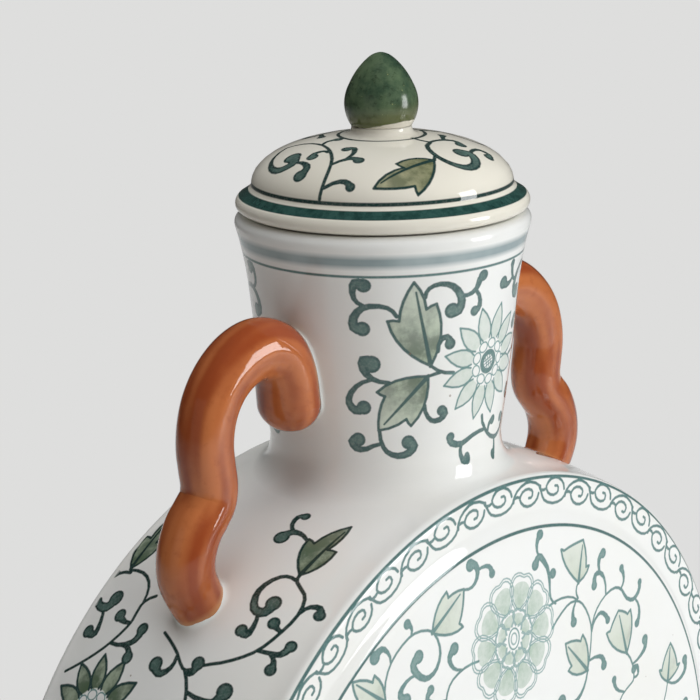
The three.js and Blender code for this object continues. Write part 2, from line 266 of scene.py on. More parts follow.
class Canvas:
    """A flat sheet in millimetres, painted with strokes and washes and wrapped onto a surface."""

    INK, CORE, LEAF, PETAL, DARK, GREY, THIN = range(CHANNELS)

    def __init__(self, wrap, outer, inner=None, spacing=4.0, outward=1):
        self.wrap = wrap
        self.loops = [np.array(loop, float) for loop in (outer, inner) if loop is not None]
        self.spacing = spacing
        self.outward = outward
        self.strokes = []
        self.washes = []
        self.guides = []

    def within(self, points):
        keep = inside(points, self.loops[0])
        if len(self.loops) > 1:
            keep &= ~inside(points, self.loops[1])
        return keep

    def stroke(self, line, half, strength=1.0, channel=INK):
        """A stroke along a line, with its half width at each point."""
        self.strokes.append((line, np.broadcast_to(half, len(line)), strength, channel))

    def wash(self, polygon, channel, strength, start=None, end=None, fade=1.0):
        """A filled shape, whose strength falls to fade times its own from start to end."""
        self.washes.append((polygon, channel, strength, start, end, fade))
        middle = polygon.mean(0)
        size = np.linalg.norm(polygon - middle, axis=1).mean()
        for way in (-1, 1):
            self.guide(middle + (polygon - middle) * (1 + way * SOFT / 2 / size), True)

    def guide(self, line, closed=False):
        """A line that the triangles follow, with no colour of its own."""
        self.guides.append(looped(line) if closed else line)

    def rails(self):
        """Lines beside and round the ends of each stroke, where its colour starts and stops."""
        made = []
        for line, half, _, channel in self.strokes:
            soft = BAND_SOFT if channel == Canvas.GREY else SOFT
            closed = np.linalg.norm(line[0] - line[-1]) < SAME
            tangent = np.gradient(line, axis=0)
            if closed:
                tangent[0] = tangent[-1] = line[1] - line[-2]
            tangent = unit(tangent)
            side = np.stack([-tangent[:, 1], tangent[:, 0]], 1)
            blob = closed and half.max() > np.linalg.norm(line - line.mean(0), axis=1).mean()
            ways = (-1,) if blob else (1, -1)
            for offset in (half + soft / 2 + CHORD, half - soft / 2):
                left, right = line + side * offset[:, None], line - side * offset[:, None]
                if closed:
                    made += [line + way * side * offset[:, None] for way in ways]
                    continue
                ahead = line[-1] + offset[-1] * END_CAP @ [tangent[-1], side[-1]]
                behind = line[0] - offset[0] * END_CAP @ [tangent[0], side[0]]
                made.append(np.concatenate([left, ahead, right[::-1], behind, left[:1]]))
            if half.max() > BLOB_HALF:
                for inset in (CORE_START, CORE_FULL):
                    offset = np.where(half > CORE_HALF, half - inset, np.nan)[:, None]
                    made += [line + way * side * offset for way in ways]
        return made + self.guides

    def from_border(self, points):
        """Distance of points from the sheet's border."""
        nearest = np.full(len(points), np.inf)
        for start in self.loops:
            _, gap = to_segments(points, start, np.roll(start, -1, axis=0) - start)
            nearest = np.minimum(nearest, gap.min(1))
        return nearest

    def lattice(self, taken):
        """Free points between the strokes."""
        low, high = self.loops[0].min(0), self.loops[0].max(0)
        rows = np.arange(low[1], high[1], self.spacing * ROW_SHARE)
        points = np.array([
            (x, y)
            for k, y in enumerate(rows)
            for x in np.arange(low[0] + (k % 2) * self.spacing / 2, high[0], self.spacing)
        ])
        points = points[self.within(points)]
        tree = flat_tree(taken)
        clear = [tree.find((x, y, 0))[2] > self.spacing * CLEAR_SHARE for x, y in points]
        return points[np.array(clear)]

    def cut(self):
        """Triangles of the sheet, with an edge along every rail."""
        points, edges = [], []
        count = 0
        for loop in self.loops:
            points.append(loop)
            edges += [(count + i, count + (i + 1) % len(loop)) for i in range(len(loop))]
            count += len(loop)
        tree = flat_tree(np.concatenate(points))
        for rail in self.rails():
            known = ~np.isnan(rail[:, 0])
            shared = np.array([k and tree.find((x, y, 0))[2] < WELD for (x, y), k in zip(rail, known)])
            known[known] = self.within(rail[known]) & (self.from_border(rail[known]) > BORDER_GAP)
            known |= shared
            index = np.cumsum(known) - 1 + count
            steps = np.flatnonzero(known[:-1] & known[1:])
            edges += [(int(index[i]), int(index[i + 1])) for i in steps]
            points.append(rail[known])
            count += int(known.sum())
        taken = np.concatenate(points)
        points = np.concatenate([taken, self.lattice(taken)])
        corners = [Vector(p) for p in points]
        sheet, _, faces, _, _, _ = delaunay_2d_cdt(corners, edges, [], 0, CUT_GAP, False)
        sheet = np.array([tuple(p) for p in sheet])
        faces = np.array([tuple(f) for f in faces])
        return sheet, faces[self.within(sheet[faces].mean(1))]

    def colours(self, sheet):
        """Paint at each point of the sheet, one column to a channel."""
        paint = np.zeros((len(sheet), CHANNELS))
        for line, half, strength, channel in self.strokes:
            soft = BAND_SOFT if channel == Canvas.GREY else SOFT
            reach = half.max() + soft
            box = (sheet > line.min(0) - reach) & (sheet < line.max(0) + reach)
            near = np.flatnonzero(box.all(1))
            if not len(near):
                continue
            share, gap = to_segments(sheet[near], line[:-1], np.diff(line, axis=0))
            depth = (half[:-1] + share * (half[1:] - half[:-1]) - gap).max(1)
            mark = np.clip(depth / soft + 0.5, 0, 1) * min(1, strength / PALE_INK)
            paint[near, channel] = np.maximum(paint[near, channel], mark)
            if channel == Canvas.INK:
                # weak strokes are paler: some are thin ink, and on the panel and the neck's front the
                # paleness is a painted reflection of the glaze's sheen
                paint[near[depth > -soft], Canvas.THIN] = 1 - strength
                core = np.clip((depth - CORE_START) / (CORE_FULL - CORE_START), 0, 1)
                paint[near, Canvas.CORE] = np.maximum(paint[near, Canvas.CORE], core)
        for polygon, channel, strength, start, end, fade in self.washes:
            box = ((sheet >= polygon.min(0)) & (sheet <= polygon.max(0))).all(1)
            near = np.flatnonzero(box)
            near = near[inside(sheet[near], polygon)]
            amount = np.full(len(near), strength)
            if start is not None:
                run = np.array(end, float) - start
                share = np.clip(((sheet[near] - start) @ run) / (run @ run), 0, 1)
                amount *= 1 + share * (fade - 1)
            paint[near, channel] = np.maximum(paint[near, channel], amount)
        return paint

    def mesh(self):
        """Points, normals, triangles, paint and sheet positions."""
        sheet, faces = self.cut()
        points = self.wrap(sheet)
        nudge = 0.12
        across = self.wrap(sheet + [nudge, 0]) - self.wrap(sheet - [nudge, 0])
        up = self.wrap(sheet + [0, nudge]) - self.wrap(sheet - [0, nudge])
        normals = unit(np.cross(across, up) * self.outward)
        if self.outward < 0:
            faces = faces[:, ::-1]
        return points, normals, faces, self.colours(sheet), sheet


def welded(points):
    """Which points are kept when those at the same place become one, and the kept point of each."""
    kept = merged = np.arange(len(points))
    for shift in (0.3, 0.8):
        cells = np.floor(points[kept] / WELD + shift)
        _, first, index = np.unique(cells, axis=0, return_index=True, return_inverse=True)
        order = np.argsort(first)
        rank = np.argsort(order)
        merged = rank[index.reshape(-1)][merged]
        kept = kept[first[order]]
    return kept, merged


class Shell:
    """A mesh that is put together from sheets, loops and turned outlines."""

    def __init__(self):
        self.points, self.normals, self.paint, self.faces, self.uvs, self.slots = [], [], [], [], [], []
        self.count = 0

    def add(self, points, normals, faces, corner_uv, paint=None, slot=0, turn=(1, 1)):
        """Adds faces; turn gives the sign of x and of y, for a mirrored or turned copy."""
        flip = np.array([turn[0], turn[1], 1])
        self.points.append(points * flip)
        self.normals.append(normals * flip)
        self.paint.append(np.zeros((len(points), CHANNELS)) if paint is None else paint)
        mirrored = turn[0] * turn[1] < 0
        for face, uv in zip(faces, corner_uv):
            self.faces.append([int(i) + self.count for i in (face[::-1] if mirrored else face)])
            self.uvs.extend(uv[::-1] if mirrored else uv)
        self.slots += [slot] * len(faces)
        self.count += len(points)

    def sheet(self, mesh, corner, size, turn=(1, 1)):
        """Adds a canvas's mesh, laid on the bake map with its corner at a place."""
        points, normals, faces, paint, flat = mesh
        uv = (flat - flat.min(0) + corner) / size
        self.add(points, normals, faces, uv[faces], paint, 0, turn)

    def loft(self, loops, box, closed=True, slot=0, paint=None, flip=False):
        """Adds a skin through loops of points, with the bake map's box that it fills."""
        loops = np.array(loops, float)
        rows, columns = loops.shape[:2]
        if closed:
            across = np.roll(loops, -1, axis=1) - np.roll(loops, 1, axis=1)
        else:
            across = np.gradient(loops, axis=1)
        normals = np.cross(across, np.gradient(loops, axis=0))
        for row, inner in ((0, 1), (rows - 1, rows - 2)):
            if np.linalg.norm(loops[row, 0] - loops[row, columns // 2]) < SAME:
                normals[row] = normals[inner].mean(0)
        normals = unit(normals)
        faces, uvs = [], []
        last = columns if closed else columns - 1
        low, span = np.array(box[:2]), np.array(box[2:]) - np.array(box[:2])
        for i in range(rows - 1):
            for j in range(last):
                k = (j + 1) % columns
                corners = [(i, j), (i, k), (i + 1, k), (i + 1, j)]
                places = [(j, i), (j + 1, i), (j + 1, i + 1), (j, i + 1)]
                face = [r * columns + c for r, c in corners]
                uv = [low + span * np.array([c / last, r / (rows - 1)]) for c, r in places]
                faces.append(face[::-1] if flip else face)
                uvs.append(uv[::-1] if flip else uv)
        if flip:
            normals = -normals
        self.add(loops.reshape(-1, 3), normals.reshape(-1, 3), faces, uvs, paint, slot)

    def build(self, name, materials, body, slot, *nodes):
        """The finished piece, riding on a body and standing for the nodes."""
        points, normals = np.concatenate(self.points), np.concatenate(self.normals)
        paint = np.concatenate(self.paint)
        first, merged = welded(points)
        faces, uvs, slots, corner = [], [], [], 0
        for face, place in zip(self.faces, self.slots):
            ring, ring_uv = [], []
            for k, i in enumerate(face):
                if int(merged[i]) not in ring:
                    ring.append(int(merged[i]))
                    ring_uv.append(self.uvs[corner + k])
            corner += len(face)
            if len(ring) > 2:
                faces.append(ring)
                uvs.extend(ring_uv)
                slots.append(place)
        mesh = bpy.data.meshes.new(name)
        mesh.from_pydata((points[first] * MM).tolist(), [], faces)
        mesh.polygons.foreach_set("use_smooth", [True] * len(faces))
        mesh.polygons.foreach_set("material_index", slots)
        for material in materials:
            mesh.materials.append(material)
        mesh.uv_layers.new(name="OFBake").data.foreach_set("uv", np.array(uvs, np.float32).ravel())
        for title, columns in (("paint", (0, 1, 2, 3)), ("bands", (4, 5, 6))):
            layer = mesh.attributes.new(title, "FLOAT_COLOR", "POINT")
            colour = np.zeros((len(first), 4), np.float32)
            colour[:, : len(columns)] = paint[first][:, columns]
            layer.data.foreach_set("color", colour.ravel())
        mesh.normals_split_custom_set_from_vertices(normals[first].tolist())
        piece = bpy.data.objects.new(name, mesh)
        bpy.context.scene.collection.objects.link(piece)
        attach(piece, body)
        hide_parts(*nodes)
        return piece


def turned(outline, steps=TURN_STEPS):
    """Loops of an outline of radius and height, turned about the Z axis from the front."""
    angle = round_steps(steps)
    return [np.stack([*around(r, angle), np.full(steps, z)], 1) for r, z in outline]


class Brush:
    """Draws motifs on a canvas; its chart turns a motif's own coordinates into sheet millimetres."""

    def __init__(self, canvas, chart, strength=1.0, fade=0.5):
        self.canvas = canvas
        self.chart = chart
        self.strength = strength
        self.fade = fade  # how much of a leaf's wash is left at its tip

    def on_sheet(self, points):
        return np.array([self.chart(*p) for p in points], float)

    def line(self, points, start, end):
        """A stroke through points, with its half widths at both ends."""
        line, along = thinned(spline(self.on_sheet(points)))
        self.canvas.stroke(line, start + (end - start) * along, self.strength)

    def dot(self, centre, radius):
        """A round blob, as a stroke in a small ring."""
        middle = self.on_sheet([centre])[0]
        turn = np.linspace(0, 2 * math.pi, DOT_POINTS)
        ring = middle + DOT_CORE * radius * np.stack([np.cos(turn), np.sin(turn)], 1)
        self.canvas.stroke(ring, (1 - DOT_CORE) * radius, self.strength)

    def curl(self, points, radius, start):
        """A tendril that thickens into a round blob, centred on its last point."""
        line, along = thinned(spline(self.on_sheet(points)))
        half = start + (0.78 * radius - start) * along**1.7
        self.canvas.stroke(line, half, self.strength)
        self.dot(points[-1], radius)

    def leaf(self, base, tip, left, right, wash):
        """A three-lobed leaf from its base, its tip and the tips of its two side lobes."""
        base, tip, left, right = self.on_sheet([base, tip, left, right])
        axis = unit(tip - base)
        size = np.linalg.norm(tip - base)
        outline = []
        for lobe in (left, right):
            side = np.array([-axis[1], axis[0]])
            side *= math.copysign(1, (lobe - base) @ side)
            foot = base + axis * ((lobe - base) @ axis)
            notch = lobe + 0.12 * size * unit(foot - lobe) - 0.03 * size * axis
            to_lobe = np.linalg.norm(lobe - base)
            to_tip = np.linalg.norm(tip - notch)
            runs = [
                bend(base, (base + lobe) / 2 + side * 0.24 * to_lobe - axis * 0.04 * size, lobe, 10),
                bend(lobe, (lobe + notch) / 2 + axis * 0.02 * size, notch, 3),
                bend(notch, (notch + tip) / 2 + side * 0.16 * to_tip, tip, 8),
            ]
            for run in runs:
                line, _ = thinned(run)
                self.canvas.stroke(line, LEAF_LINE, self.strength)
            outline.append(np.concatenate([run[:-1] for run in runs]))
        ring = np.concatenate([outline[0], tip[None], outline[1][:0:-1]])
        self.canvas.washes.append((ring, Canvas.LEAF, wash, base, tip, self.fade))
        sway = (left + right - 2 * base) * 0.03
        line, along = thinned(bend(base, (base + tip) / 2 + sway, base + 0.88 * (tip - base), 10))
        self.canvas.stroke(line, LEAF_LINE * (1.7 - 1.1 * along), self.strength)

    def petal(self, centre, angle, base, tip, half, wash, channel, strength):
        """A pointed petal of a flower, at an angle from its centre."""
        weight = 0.4 * strength
        middle = self.on_sheet([centre])[0]
        out, side = compass(angle)
        start, end = middle + out * base, middle + out * tip
        ring = []
        for way in (1, -1):
            shoulder = start + out * 0.38 * (tip - base) + way * side * half * 1.9
            run = bend(start + way * side * half * 0.6, shoulder, end, 10)
            line, _ = thinned(run)
            self.canvas.stroke(line, weight, strength * self.strength)
            ring.append(run if way > 0 else run[::-1])
        self.canvas.washes.append((np.concatenate(ring), channel, wash, start, end, self.fade))


STAR_PETALS, STAR_BEADS = 12, 9


def starflower(brush, centre, radius, wash, channel=Canvas.PETAL, strength=0.6):
    """A daisy-like lotus: pointed petals round a bead ring and a netted eye."""
    half = 0.5 * radius * math.tan(math.pi / STAR_PETALS)
    for angle in round_steps(STAR_PETALS) + math.pi / STAR_PETALS:
        brush.petal(centre, angle, 0.42 * radius, radius, half, wash, channel, strength)
    middle = brush.on_sheet([centre])[0]
    ring = np.linspace(0, 2 * math.pi, 15)[:, None]
    for angle in round_steps(STAR_BEADS):
        out, side = compass(angle)
        bead = 0.32 * out + 0.085 * np.cos(ring) * out + 0.1 * np.sin(ring) * side
        brush.canvas.stroke(middle + radius * bead, 0.17, 0.32)
    turn = np.linspace(0, 2 * math.pi, 33)
    eye = np.stack([np.cos(turn), np.sin(turn)], 1)
    brush.canvas.stroke(middle + 0.165 * radius * eye, 0.046 * radius, 0.8 * brush.strength)
    for k in (-1, 0, 1):
        for way in (np.array([1.0, 0.35]), np.array([-0.35, 1.0])):
            across = np.array([-way[1], way[0]])
            mid = middle + across * k * 0.05 * radius
            brush.canvas.stroke(np.stack([mid - way * 0.1 * radius, mid + way * 0.1 * radius]), 0.12, 0.5)


PEONY_R = 18.2
PEONY_ROWS = ((1.0, 10, 1.0, 0.0), (0.46, 8, 0.6, 0.35))  # reach, number, size and turn of a row's petals
PEONY_PETAL = [  # outline of a petal: out from the flower's middle, and aside
    (0.42, -0.05), (0.56, -0.19), (0.76, -0.29), (0.93, -0.25), (1.0, -0.13), (0.97, -0.02),
    (1.0, 0.09), (0.95, 0.23), (0.77, 0.29), (0.56, 0.19), (0.42, 0.05),
]
PEONY_PATCH = [  # outline of the wash in a petal
    (0.46, -0.06), (0.6, -0.14), (0.76, -0.2), (0.86, -0.1),
    (0.85, 0.1), (0.76, 0.2), (0.6, 0.14), (0.46, 0.06),
]


def peony(brush, centre):
    """A round flower with two rows of scalloped petals, each with a wash in it."""
    middle = brush.on_sheet([centre])[0]
    for row, count, size, turn in PEONY_ROWS:
        for angle in round_steps(count) + turn:
            out, side = compass(angle)
            for inset in (1.0, 0.86):
                place = [(row * (0.7 + (a - 0.7) * inset), size * b * inset) for a, b in PEONY_PETAL]
                line, _ = thinned(spline(middle + PEONY_R * np.array(place) @ [out, side], 6))
                brush.canvas.stroke(line, 0.19, 0.55 * brush.strength)
            patch = np.array([(row * a, size * b) for a, b in PEONY_PATCH])
            ring = spline(looped(middle + PEONY_R * patch @ [out, side]), 4)[:-1]
            start, end = middle + out * 0.4 * PEONY_R * row, middle + out * PEONY_R * row
            brush.canvas.wash(ring, Canvas.PETAL, 1.0, start, end, 0.55)
    turn = np.linspace(0, 2 * math.pi, 21)
    for size, strength in ((0.15, 0.3), (0.08, 0.25)):
        oval = np.stack([0.85 * np.cos(turn), 1.1 * np.sin(turn)], 1)
        brush.canvas.stroke(middle + size * PEONY_R * oval, 0.22, strength)


def circle(radius, steps):
    """A closed loop, clockwise from the top, on a sheet."""
    angle = round_steps(steps)
    return np.stack([radius * np.sin(angle), radius * np.cos(angle)], 1)


class Outline:
    """An outline of radius and height with the length along it, for laying a sheet on a turned surface."""

    def __init__(self, points, start=0.0):
        self.points = np.array(points, float)
        self.along = lengths(self.points) + start

    def at(self, along):
        return [np.interp(along, self.along, column) for column in self.points.T]

    def of_radius(self, radius):
        return np.interp(radius, self.points[:, 0], self.along)


def face_outline(inset=0.0):
    """Half of the body's outline from the middle of a face to the edge of the rim band."""
    edge_r = RIM_R - RIM_DROP
    curve = np.concatenate([
        bend((0, FACE_Y), (PANEL_EDGE[0][0] / 2, FACE_Y), PANEL_EDGE[0], 60)[:-1],
        spline(PANEL_EDGE, 10)[:-1],
        bend(PANEL_EDGE[-1], (edge_r, PANEL_EDGE[-1][1]), (edge_r, BAND_HALF), 30),
    ])
    scale = (edge_r - inset) / edge_r
    return Outline(np.stack([curve[:, 0] * scale, curve[:, 1] - inset], 1))


def rim_radius(y, inset=0.0):
    half = BAND_HALF - inset
    return RIM_R - inset - RIM_DROP * (y / half) ** 2


def shoulder_height(x, y):
    """Height of the body's top over a place in plan."""
    return BODY_Z + np.sqrt(np.maximum(rim_radius(y) ** 2 - x**2, 0))


def on_face(outline):
    """Lays a sheet on the front face: x across and z up, measured along the surface from the middle."""

    def wrap(sheet):
        along = np.maximum(np.linalg.norm(sheet, axis=1), TINY)
        radius, depth = outline.at(along)
        way = sheet / along[:, None]
        return np.stack([radius * way[:, 0], -depth, BODY_Z + radius * way[:, 1]], 1)

    return wrap


def on_band(inset=0.0):
    """Lays a sheet on the left half of the rim band: length down from the top, and y."""

    def wrap(sheet):
        angle = sheet[:, 0] / RIM_MEAN
        radius = rim_radius(sheet[:, 1], inset)
        return np.stack([-radius * np.sin(angle), sheet[:, 1], BODY_Z + radius * np.cos(angle)], 1)

    return wrap


def skirt_radius(angle):
    """How far out the neck's spread foot meets the body, at an angle from the front."""
    return THROAT_R + SKIRT_REACH + SKIRT_MORE * np.sin(angle) ** 2


def neck_radius(z):
    """Radius of the neck's wall above its throat."""
    side = spline(NECK_SIDE, 16)
    return np.interp(z - THROAT_Z, side[:, 1], side[:, 0])


def on_neck(sheet):
    """Lays a sheet on the front half of the neck: length round from the front, and height."""
    angle = sheet[:, 0] / NECK_MEAN
    z = sheet[:, 1]
    radius = neck_radius(np.maximum(z, THROAT_Z))
    share = np.clip((THROAT_Z - z) / SKIRT, 0, 1.01)
    foot_r = skirt_radius(angle)
    way = np.stack([np.sin(angle), -np.cos(angle)], 1)

    def ground(r):
        return shoulder_height(r * way[:, 0], r * way[:, 1])

    foot_z = ground(foot_r)
    corner_z = foot_z - (ground(foot_r) - ground(foot_r - 0.5)) / 0.5 * (foot_r - THROAT_R)
    skirt_r = (1 - share**2) * THROAT_R + share**2 * foot_r
    skirt_z = (1 - share) ** 2 * THROAT_Z + 2 * share * (1 - share) * corner_z + share**2 * foot_z
    below = z < THROAT_Z
    radius = np.where(below, skirt_r, radius)
    height = np.where(below, skirt_z, z)
    return np.stack([radius * way[:, 0], radius * way[:, 1], height], 1)


def dome_outline():
    """The lid's outline from the foot of the collar out to its edge."""
    steepest = math.acos((COLLAR_FOOT_R / DOME_R) ** (DOME_FULL / 2))
    angle = np.linspace(steepest, 0, 60)
    radius = DOME_R * np.cos(angle) ** (2 / DOME_FULL)
    dome = np.stack([radius, DOME_Z + DOME_RISE * np.sin(angle) ** (2 / DOME_FULL)], 1)
    shoulder = bend(dome[-1], (DOME_R + 0.5, DOME_Z - 1.1), (LID_R, EDGE_Z), 10)[1:]
    return Outline(np.concatenate([dome, shoulder]), COLLAR_FOOT_R)


def on_lid(outline):
    """Lays a sheet on the lid: plan directions, measured along the dome from the axis."""

    def wrap(sheet):
        along = np.linalg.norm(sheet, axis=1)
        radius, height = outline.at(along)
        way = sheet / along[:, None]
        return np.stack([radius * way[:, 0], radius * way[:, 1], height], 1)

    return wrap


# Motifs of the face, as x and height above the body's middle, for one third of the round panel
FACE_STEMS = [
    [(-30.5, 84.7), (-34, 86.2), (-38.5, 86.4), (-43.5, 84.3), (-47.5, 81), (-49.8, 76.5), (-50, 71.5),
     (-47, 64), (-41, 58)],
    [(-13, 71), (-20, 70.7), (-25, 68.3), (-27, 63.5), (-25, 57), (-19, 51), (-11, 47.5)],
    [(19, 77), (25, 77.4), (29.5, 76.4), (32.5, 74.6)],
    [(20, 70), (24, 72.8), (29, 74.8), (33.5, 73.8), (36.8, 70), (38.8, 64.5), (38.2, 58.5), (36.5, 52)],
    [(32.8, 75), (32, 77.5), (33.3, 79.8)],
    [(38.9, 63), (41, 68), (46.7, 71.8)],
    [(57, 50.5), (60, 46), (60.5, 41), (57, 39.5), (53.5, 37.5), (52, 33)],
]
FACE_CURLS = [
    ([(-17.5, 92.5), (-14, 92.3), (-12, 94), (-11.5, 96.5), (-12.5, 98), (-14.3, 98.4)], 1.8),
    ([(-11.7, 96), (-9, 96.5), (-6.5, 95.8), (-5.5, 93.6)], 1.3),
    ([(-39, 86.5), (-38.8, 88.3), (-40.3, 89.8)], 1.4),
    ([(-47.3, 81.5), (-47.8, 84), (-50, 86), (-53, 84.6)], 1.9),
    ([(-30.5, 84.5), (-28.6, 81), (-28.4, 77.5), (-30.5, 74), (-34, 72.9), (-37.5, 75), (-39, 78),
      (-36.8, 79.8)], 1.9),
    ([(-38, 75.2), (-42, 74.5), (-44.5, 72), (-42.5, 69.5)], 2.0),
    ([(-20, 70.8), (-23.5, 72.5), (-24.8, 75.5), (-22.7, 77.6)], 1.8),
    ([(-27, 64.5), (-31, 65), (-34.3, 67), (-32.8, 69.3)], 1.4),
    ([(22, 76.8), (19.8, 79), (19.6, 84), (19, 88), (17, 91), (15.5, 92.4), (13.5, 90.5)], 1.6),
    ([(15.2, 92.4), (14.6, 96), (16.3, 98.5)], 1.5),
    ([(19.8, 83.5), (20, 85.5), (21.3, 85.8)], 1.5),
    ([(31.5, 74.2), (30, 71.5), (30.3, 68.6)], 1.5),
    ([(37.5, 54.7), (41, 54.7), (44, 53.5), (44.8, 50.8)], 1.5),
    ([(39, 63), (40.5, 65.8), (43.5, 67.3), (46, 66), (47.3, 63.9)], 1.2),
    ([(46.7, 71.8), (46.5, 76), (45, 78.8), (42, 79.4), (41, 76.3)], 1.4),
    ([(46.3, 77), (43.8, 80), (44, 83.5), (46, 84.6)], 1.5),
    ([(46.7, 71.8), (52, 72.4), (55, 70.8), (57.5, 67.5), (61, 66), (64, 67.5), (64.8, 70.2)], 1.1),
    ([(54.5, 71.2), (56.3, 73.5), (55.3, 77.3)], 1.2),
    ([(62, 66), (64, 63), (64, 60), (62.8, 58)], 1.3),
    ([(60, 46), (64, 47), (67, 49), (67, 51.5)], 1.6),
    ([(60.6, 41.5), (63, 42), (62.5, 44.5), (60.7, 44.2)], 1.4),
    ([(55, 39), (51, 41.5), (50, 44.5)], 1.2),
    ([(-19, 51), (-15, 54.5), (-10.5, 54), (-9.5, 51)], 1.5),
    ([(-11, 47.5), (-4, 47), (-1, 42), (-4, 38), (-7.5, 39.5)], 1.9),
    ([(-11, 47.5), (-16, 43.5), (-22, 44), (-22.5, 47.5)], 1.6),
    ([(36.5, 52), (33, 46), (27, 44), (23.5, 47)], 2.0),
    ([(27, 44), (21, 41.5), (18.5, 36.5), (22, 34.5)], 1.6),
    ([(0, 19), (4, 25), (3, 31), (-3, 33.5), (-7.5, 30.5), (-5.5, 27)], 1.8),
    ([(3.8, 27), (8.5, 28.5), (11, 26)], 1.4),
]
FACE_LEAVES = [
    ((-31, 84.5), (-17.5, 92.7), (-24.5, 94), (-18.7, 82.5)),
    ((33.3, 79.5), (36.5, 91.3), (25.7, 91.5), (38.8, 83)),
    ((36.5, 52), (26, 63.5), (27, 55), (34.5, 63.5)),
    ((57, 50.5), (53, 65), (46.5, 60), (59.5, 63.3)),
    ((-50, 71.5), (-61.5, 80.7), (-61.5, 74.5), (-53.5, 80)),
]
FACE_FLOWER = (2.5, 72.5)

# Motifs that fill the panel between the thirds, turned by a sixth of the circle
FILL_STEMS = [
    [(-2.6, 61.5), (1, 55), (7, 52), (13, 55), (17, 62), (18, 70), (16, 79), (11, 86)],
    [(7, 52), (8.5, 47), (13, 43.5)],
]
FILL_CURLS = [
    ([(17, 62), (22, 60), (26, 63), (25.5, 67.5), (22.5, 68)], 1.8),
    ([(18, 70), (23, 73), (26, 78), (24, 82.5), (20.5, 82)], 1.9),
    ([(26, 78), (30, 82), (29.5, 88), (25.5, 90)], 1.7),
    ([(16.5, 78), (11, 77), (8, 73.5), (9.5, 70.5)], 1.6),
    ([(11, 86), (15.5, 90), (16, 95), (12.8, 96.8)], 1.5),
    ([(1, 55), (-4, 51), (-6, 46), (-3, 43)], 1.7),
    ([(0, 19), (-3, 25), (-1, 31), (4, 34.5), (9, 33), (9, 29)], 1.8),
    ([(-2, 29.5), (-7.5, 31.5), (-9, 36), (-6, 38)], 1.5),
]
FILL_LEAVES = [
    ((11, 86), (1.5, 93.5), (4, 84.5), (11.5, 94)),
    ((13, 43.5), (24.5, 34.5), (15.5, 34), (24.5, 42)),
]

# Motifs of the neck's front, as degrees round from the front and height above the throat
NECK_STEMS = [[(-18, 24), (-24, 24.8), (-29, 26.8)], [(-24, 24.8), (-30, 24)]]
NECK_CURLS = [
    ([(-43.7, 41), (-47, 43.3), (-53, 44), (-58, 43.2), (-61.3, 40.5), (-61, 38), (-57.7, 37.7)], 2.0),
    ([(-57, 44), (-60.3, 45.5), (-61.2, 48), (-60, 50.3), (-56.7, 49.6)], 1.9),
    ([(-32.3, 45.7), (-31, 48), (-27, 49.1), (-21.5, 48.5), (-17.5, 46.3), (-15.8, 43.5), (-17.3, 41.2),
      (-20.2, 41.4)], 2.1),
    ([(-25.9, 30.6), (-25.6, 32.6), (-24, 34.1), (-21.8, 34.2), (-20.4, 32.3)], 1.6),
    ([(-47, 22.8), (-52, 23.3), (-55.5, 24.5), (-57.8, 26.5), (-57.6, 29), (-54.3, 28)], 2.4),
    ([(-55, 23.6), (-60, 22.3), (-64, 19.5), (-64.8, 17), (-62.2, 15), (-58.2, 15.8)], 2.0),
    ([(-51.5, 9), (-50.8, 6), (-48.5, 3.3), (-43.5, 1.9), (-38, 2.6), (-35.8, 4.6), (-38.3, 5.7)], 2.0),
    ([(-50.8, 5.5), (-54, 5), (-58, 3.9), (-62.5, 4), (-64.3, 6), (-61.3, 6.6)], 2.0),
    ([(-31.2, 15.8), (-30.3, 13.3), (-27.3, 11.2), (-23, 11.4), (-21, 13.2), (-22.8, 13.8)], 1.5),
]
NECK_CENTRE_CURLS = [
    ([(-16, 45.2), (-12, 45.1), (-8.5, 46.5), (-7.5, 48.5), (-5.7, 49.6)], 1.6),
    ([(-8.7, 45.8), (-6.3, 43.5), (-6.4, 41), (-8.7, 40.2)], 1.4),
    ([(21, 45.2), (18, 46), (16, 48), (15.3, 50.3)], 1.2),
    ([(17.2, 46.4), (15.2, 45.2), (12, 44.8), (9, 45.8)], 1.8),
    ([(2, 9.5), (3.3, 7), (5.5, 5.3), (1, 5.1), (-5, 4.3), (-10, 3), (-14, 3.2), (-17, 4.2),
      (-17.3, 5.6)], 1.4),
    ([(-10.3, 3.1), (-10.7, 0.5), (-9, -1.3), (-6.3, -1.2)], 1.3),
    ([(5.5, 5.3), (9, 3.3), (14, 1.6), (20, 1), (25, 2.5), (26, 5.5), (23, 6)], 1.5),
    ([(8.8, 3.6), (9.5, 6.2), (12.3, 6.8)], 1.4),
    ([(17.3, 1.2), (17.5, -1.2), (15, -2.6)], 1.2),
]
NECK_LEAVES = [
    ((-29, 26.8), (-37, 50.2), (-47.5, 39.8), (-27.3, 43.8)),
    ((-30, 24), (-52, 9.3), (-37.2, 10.3), (-52.3, 20.2)),
]
NECK_FLOWER = (2.5, 24.8)
NECK_DROP = (82.5, 56.0)  # a stray drop of ink beside the handle
NECK_BANDS = [  # height, half width, soft edge and paint of the bands under the lip
    (MOUTH_Z - 6.4, 1.5, BAND_SOFT, Canvas.GREY),
    (MOUTH_Z - 10.3, 0.32, SOFT, Canvas.INK),
]

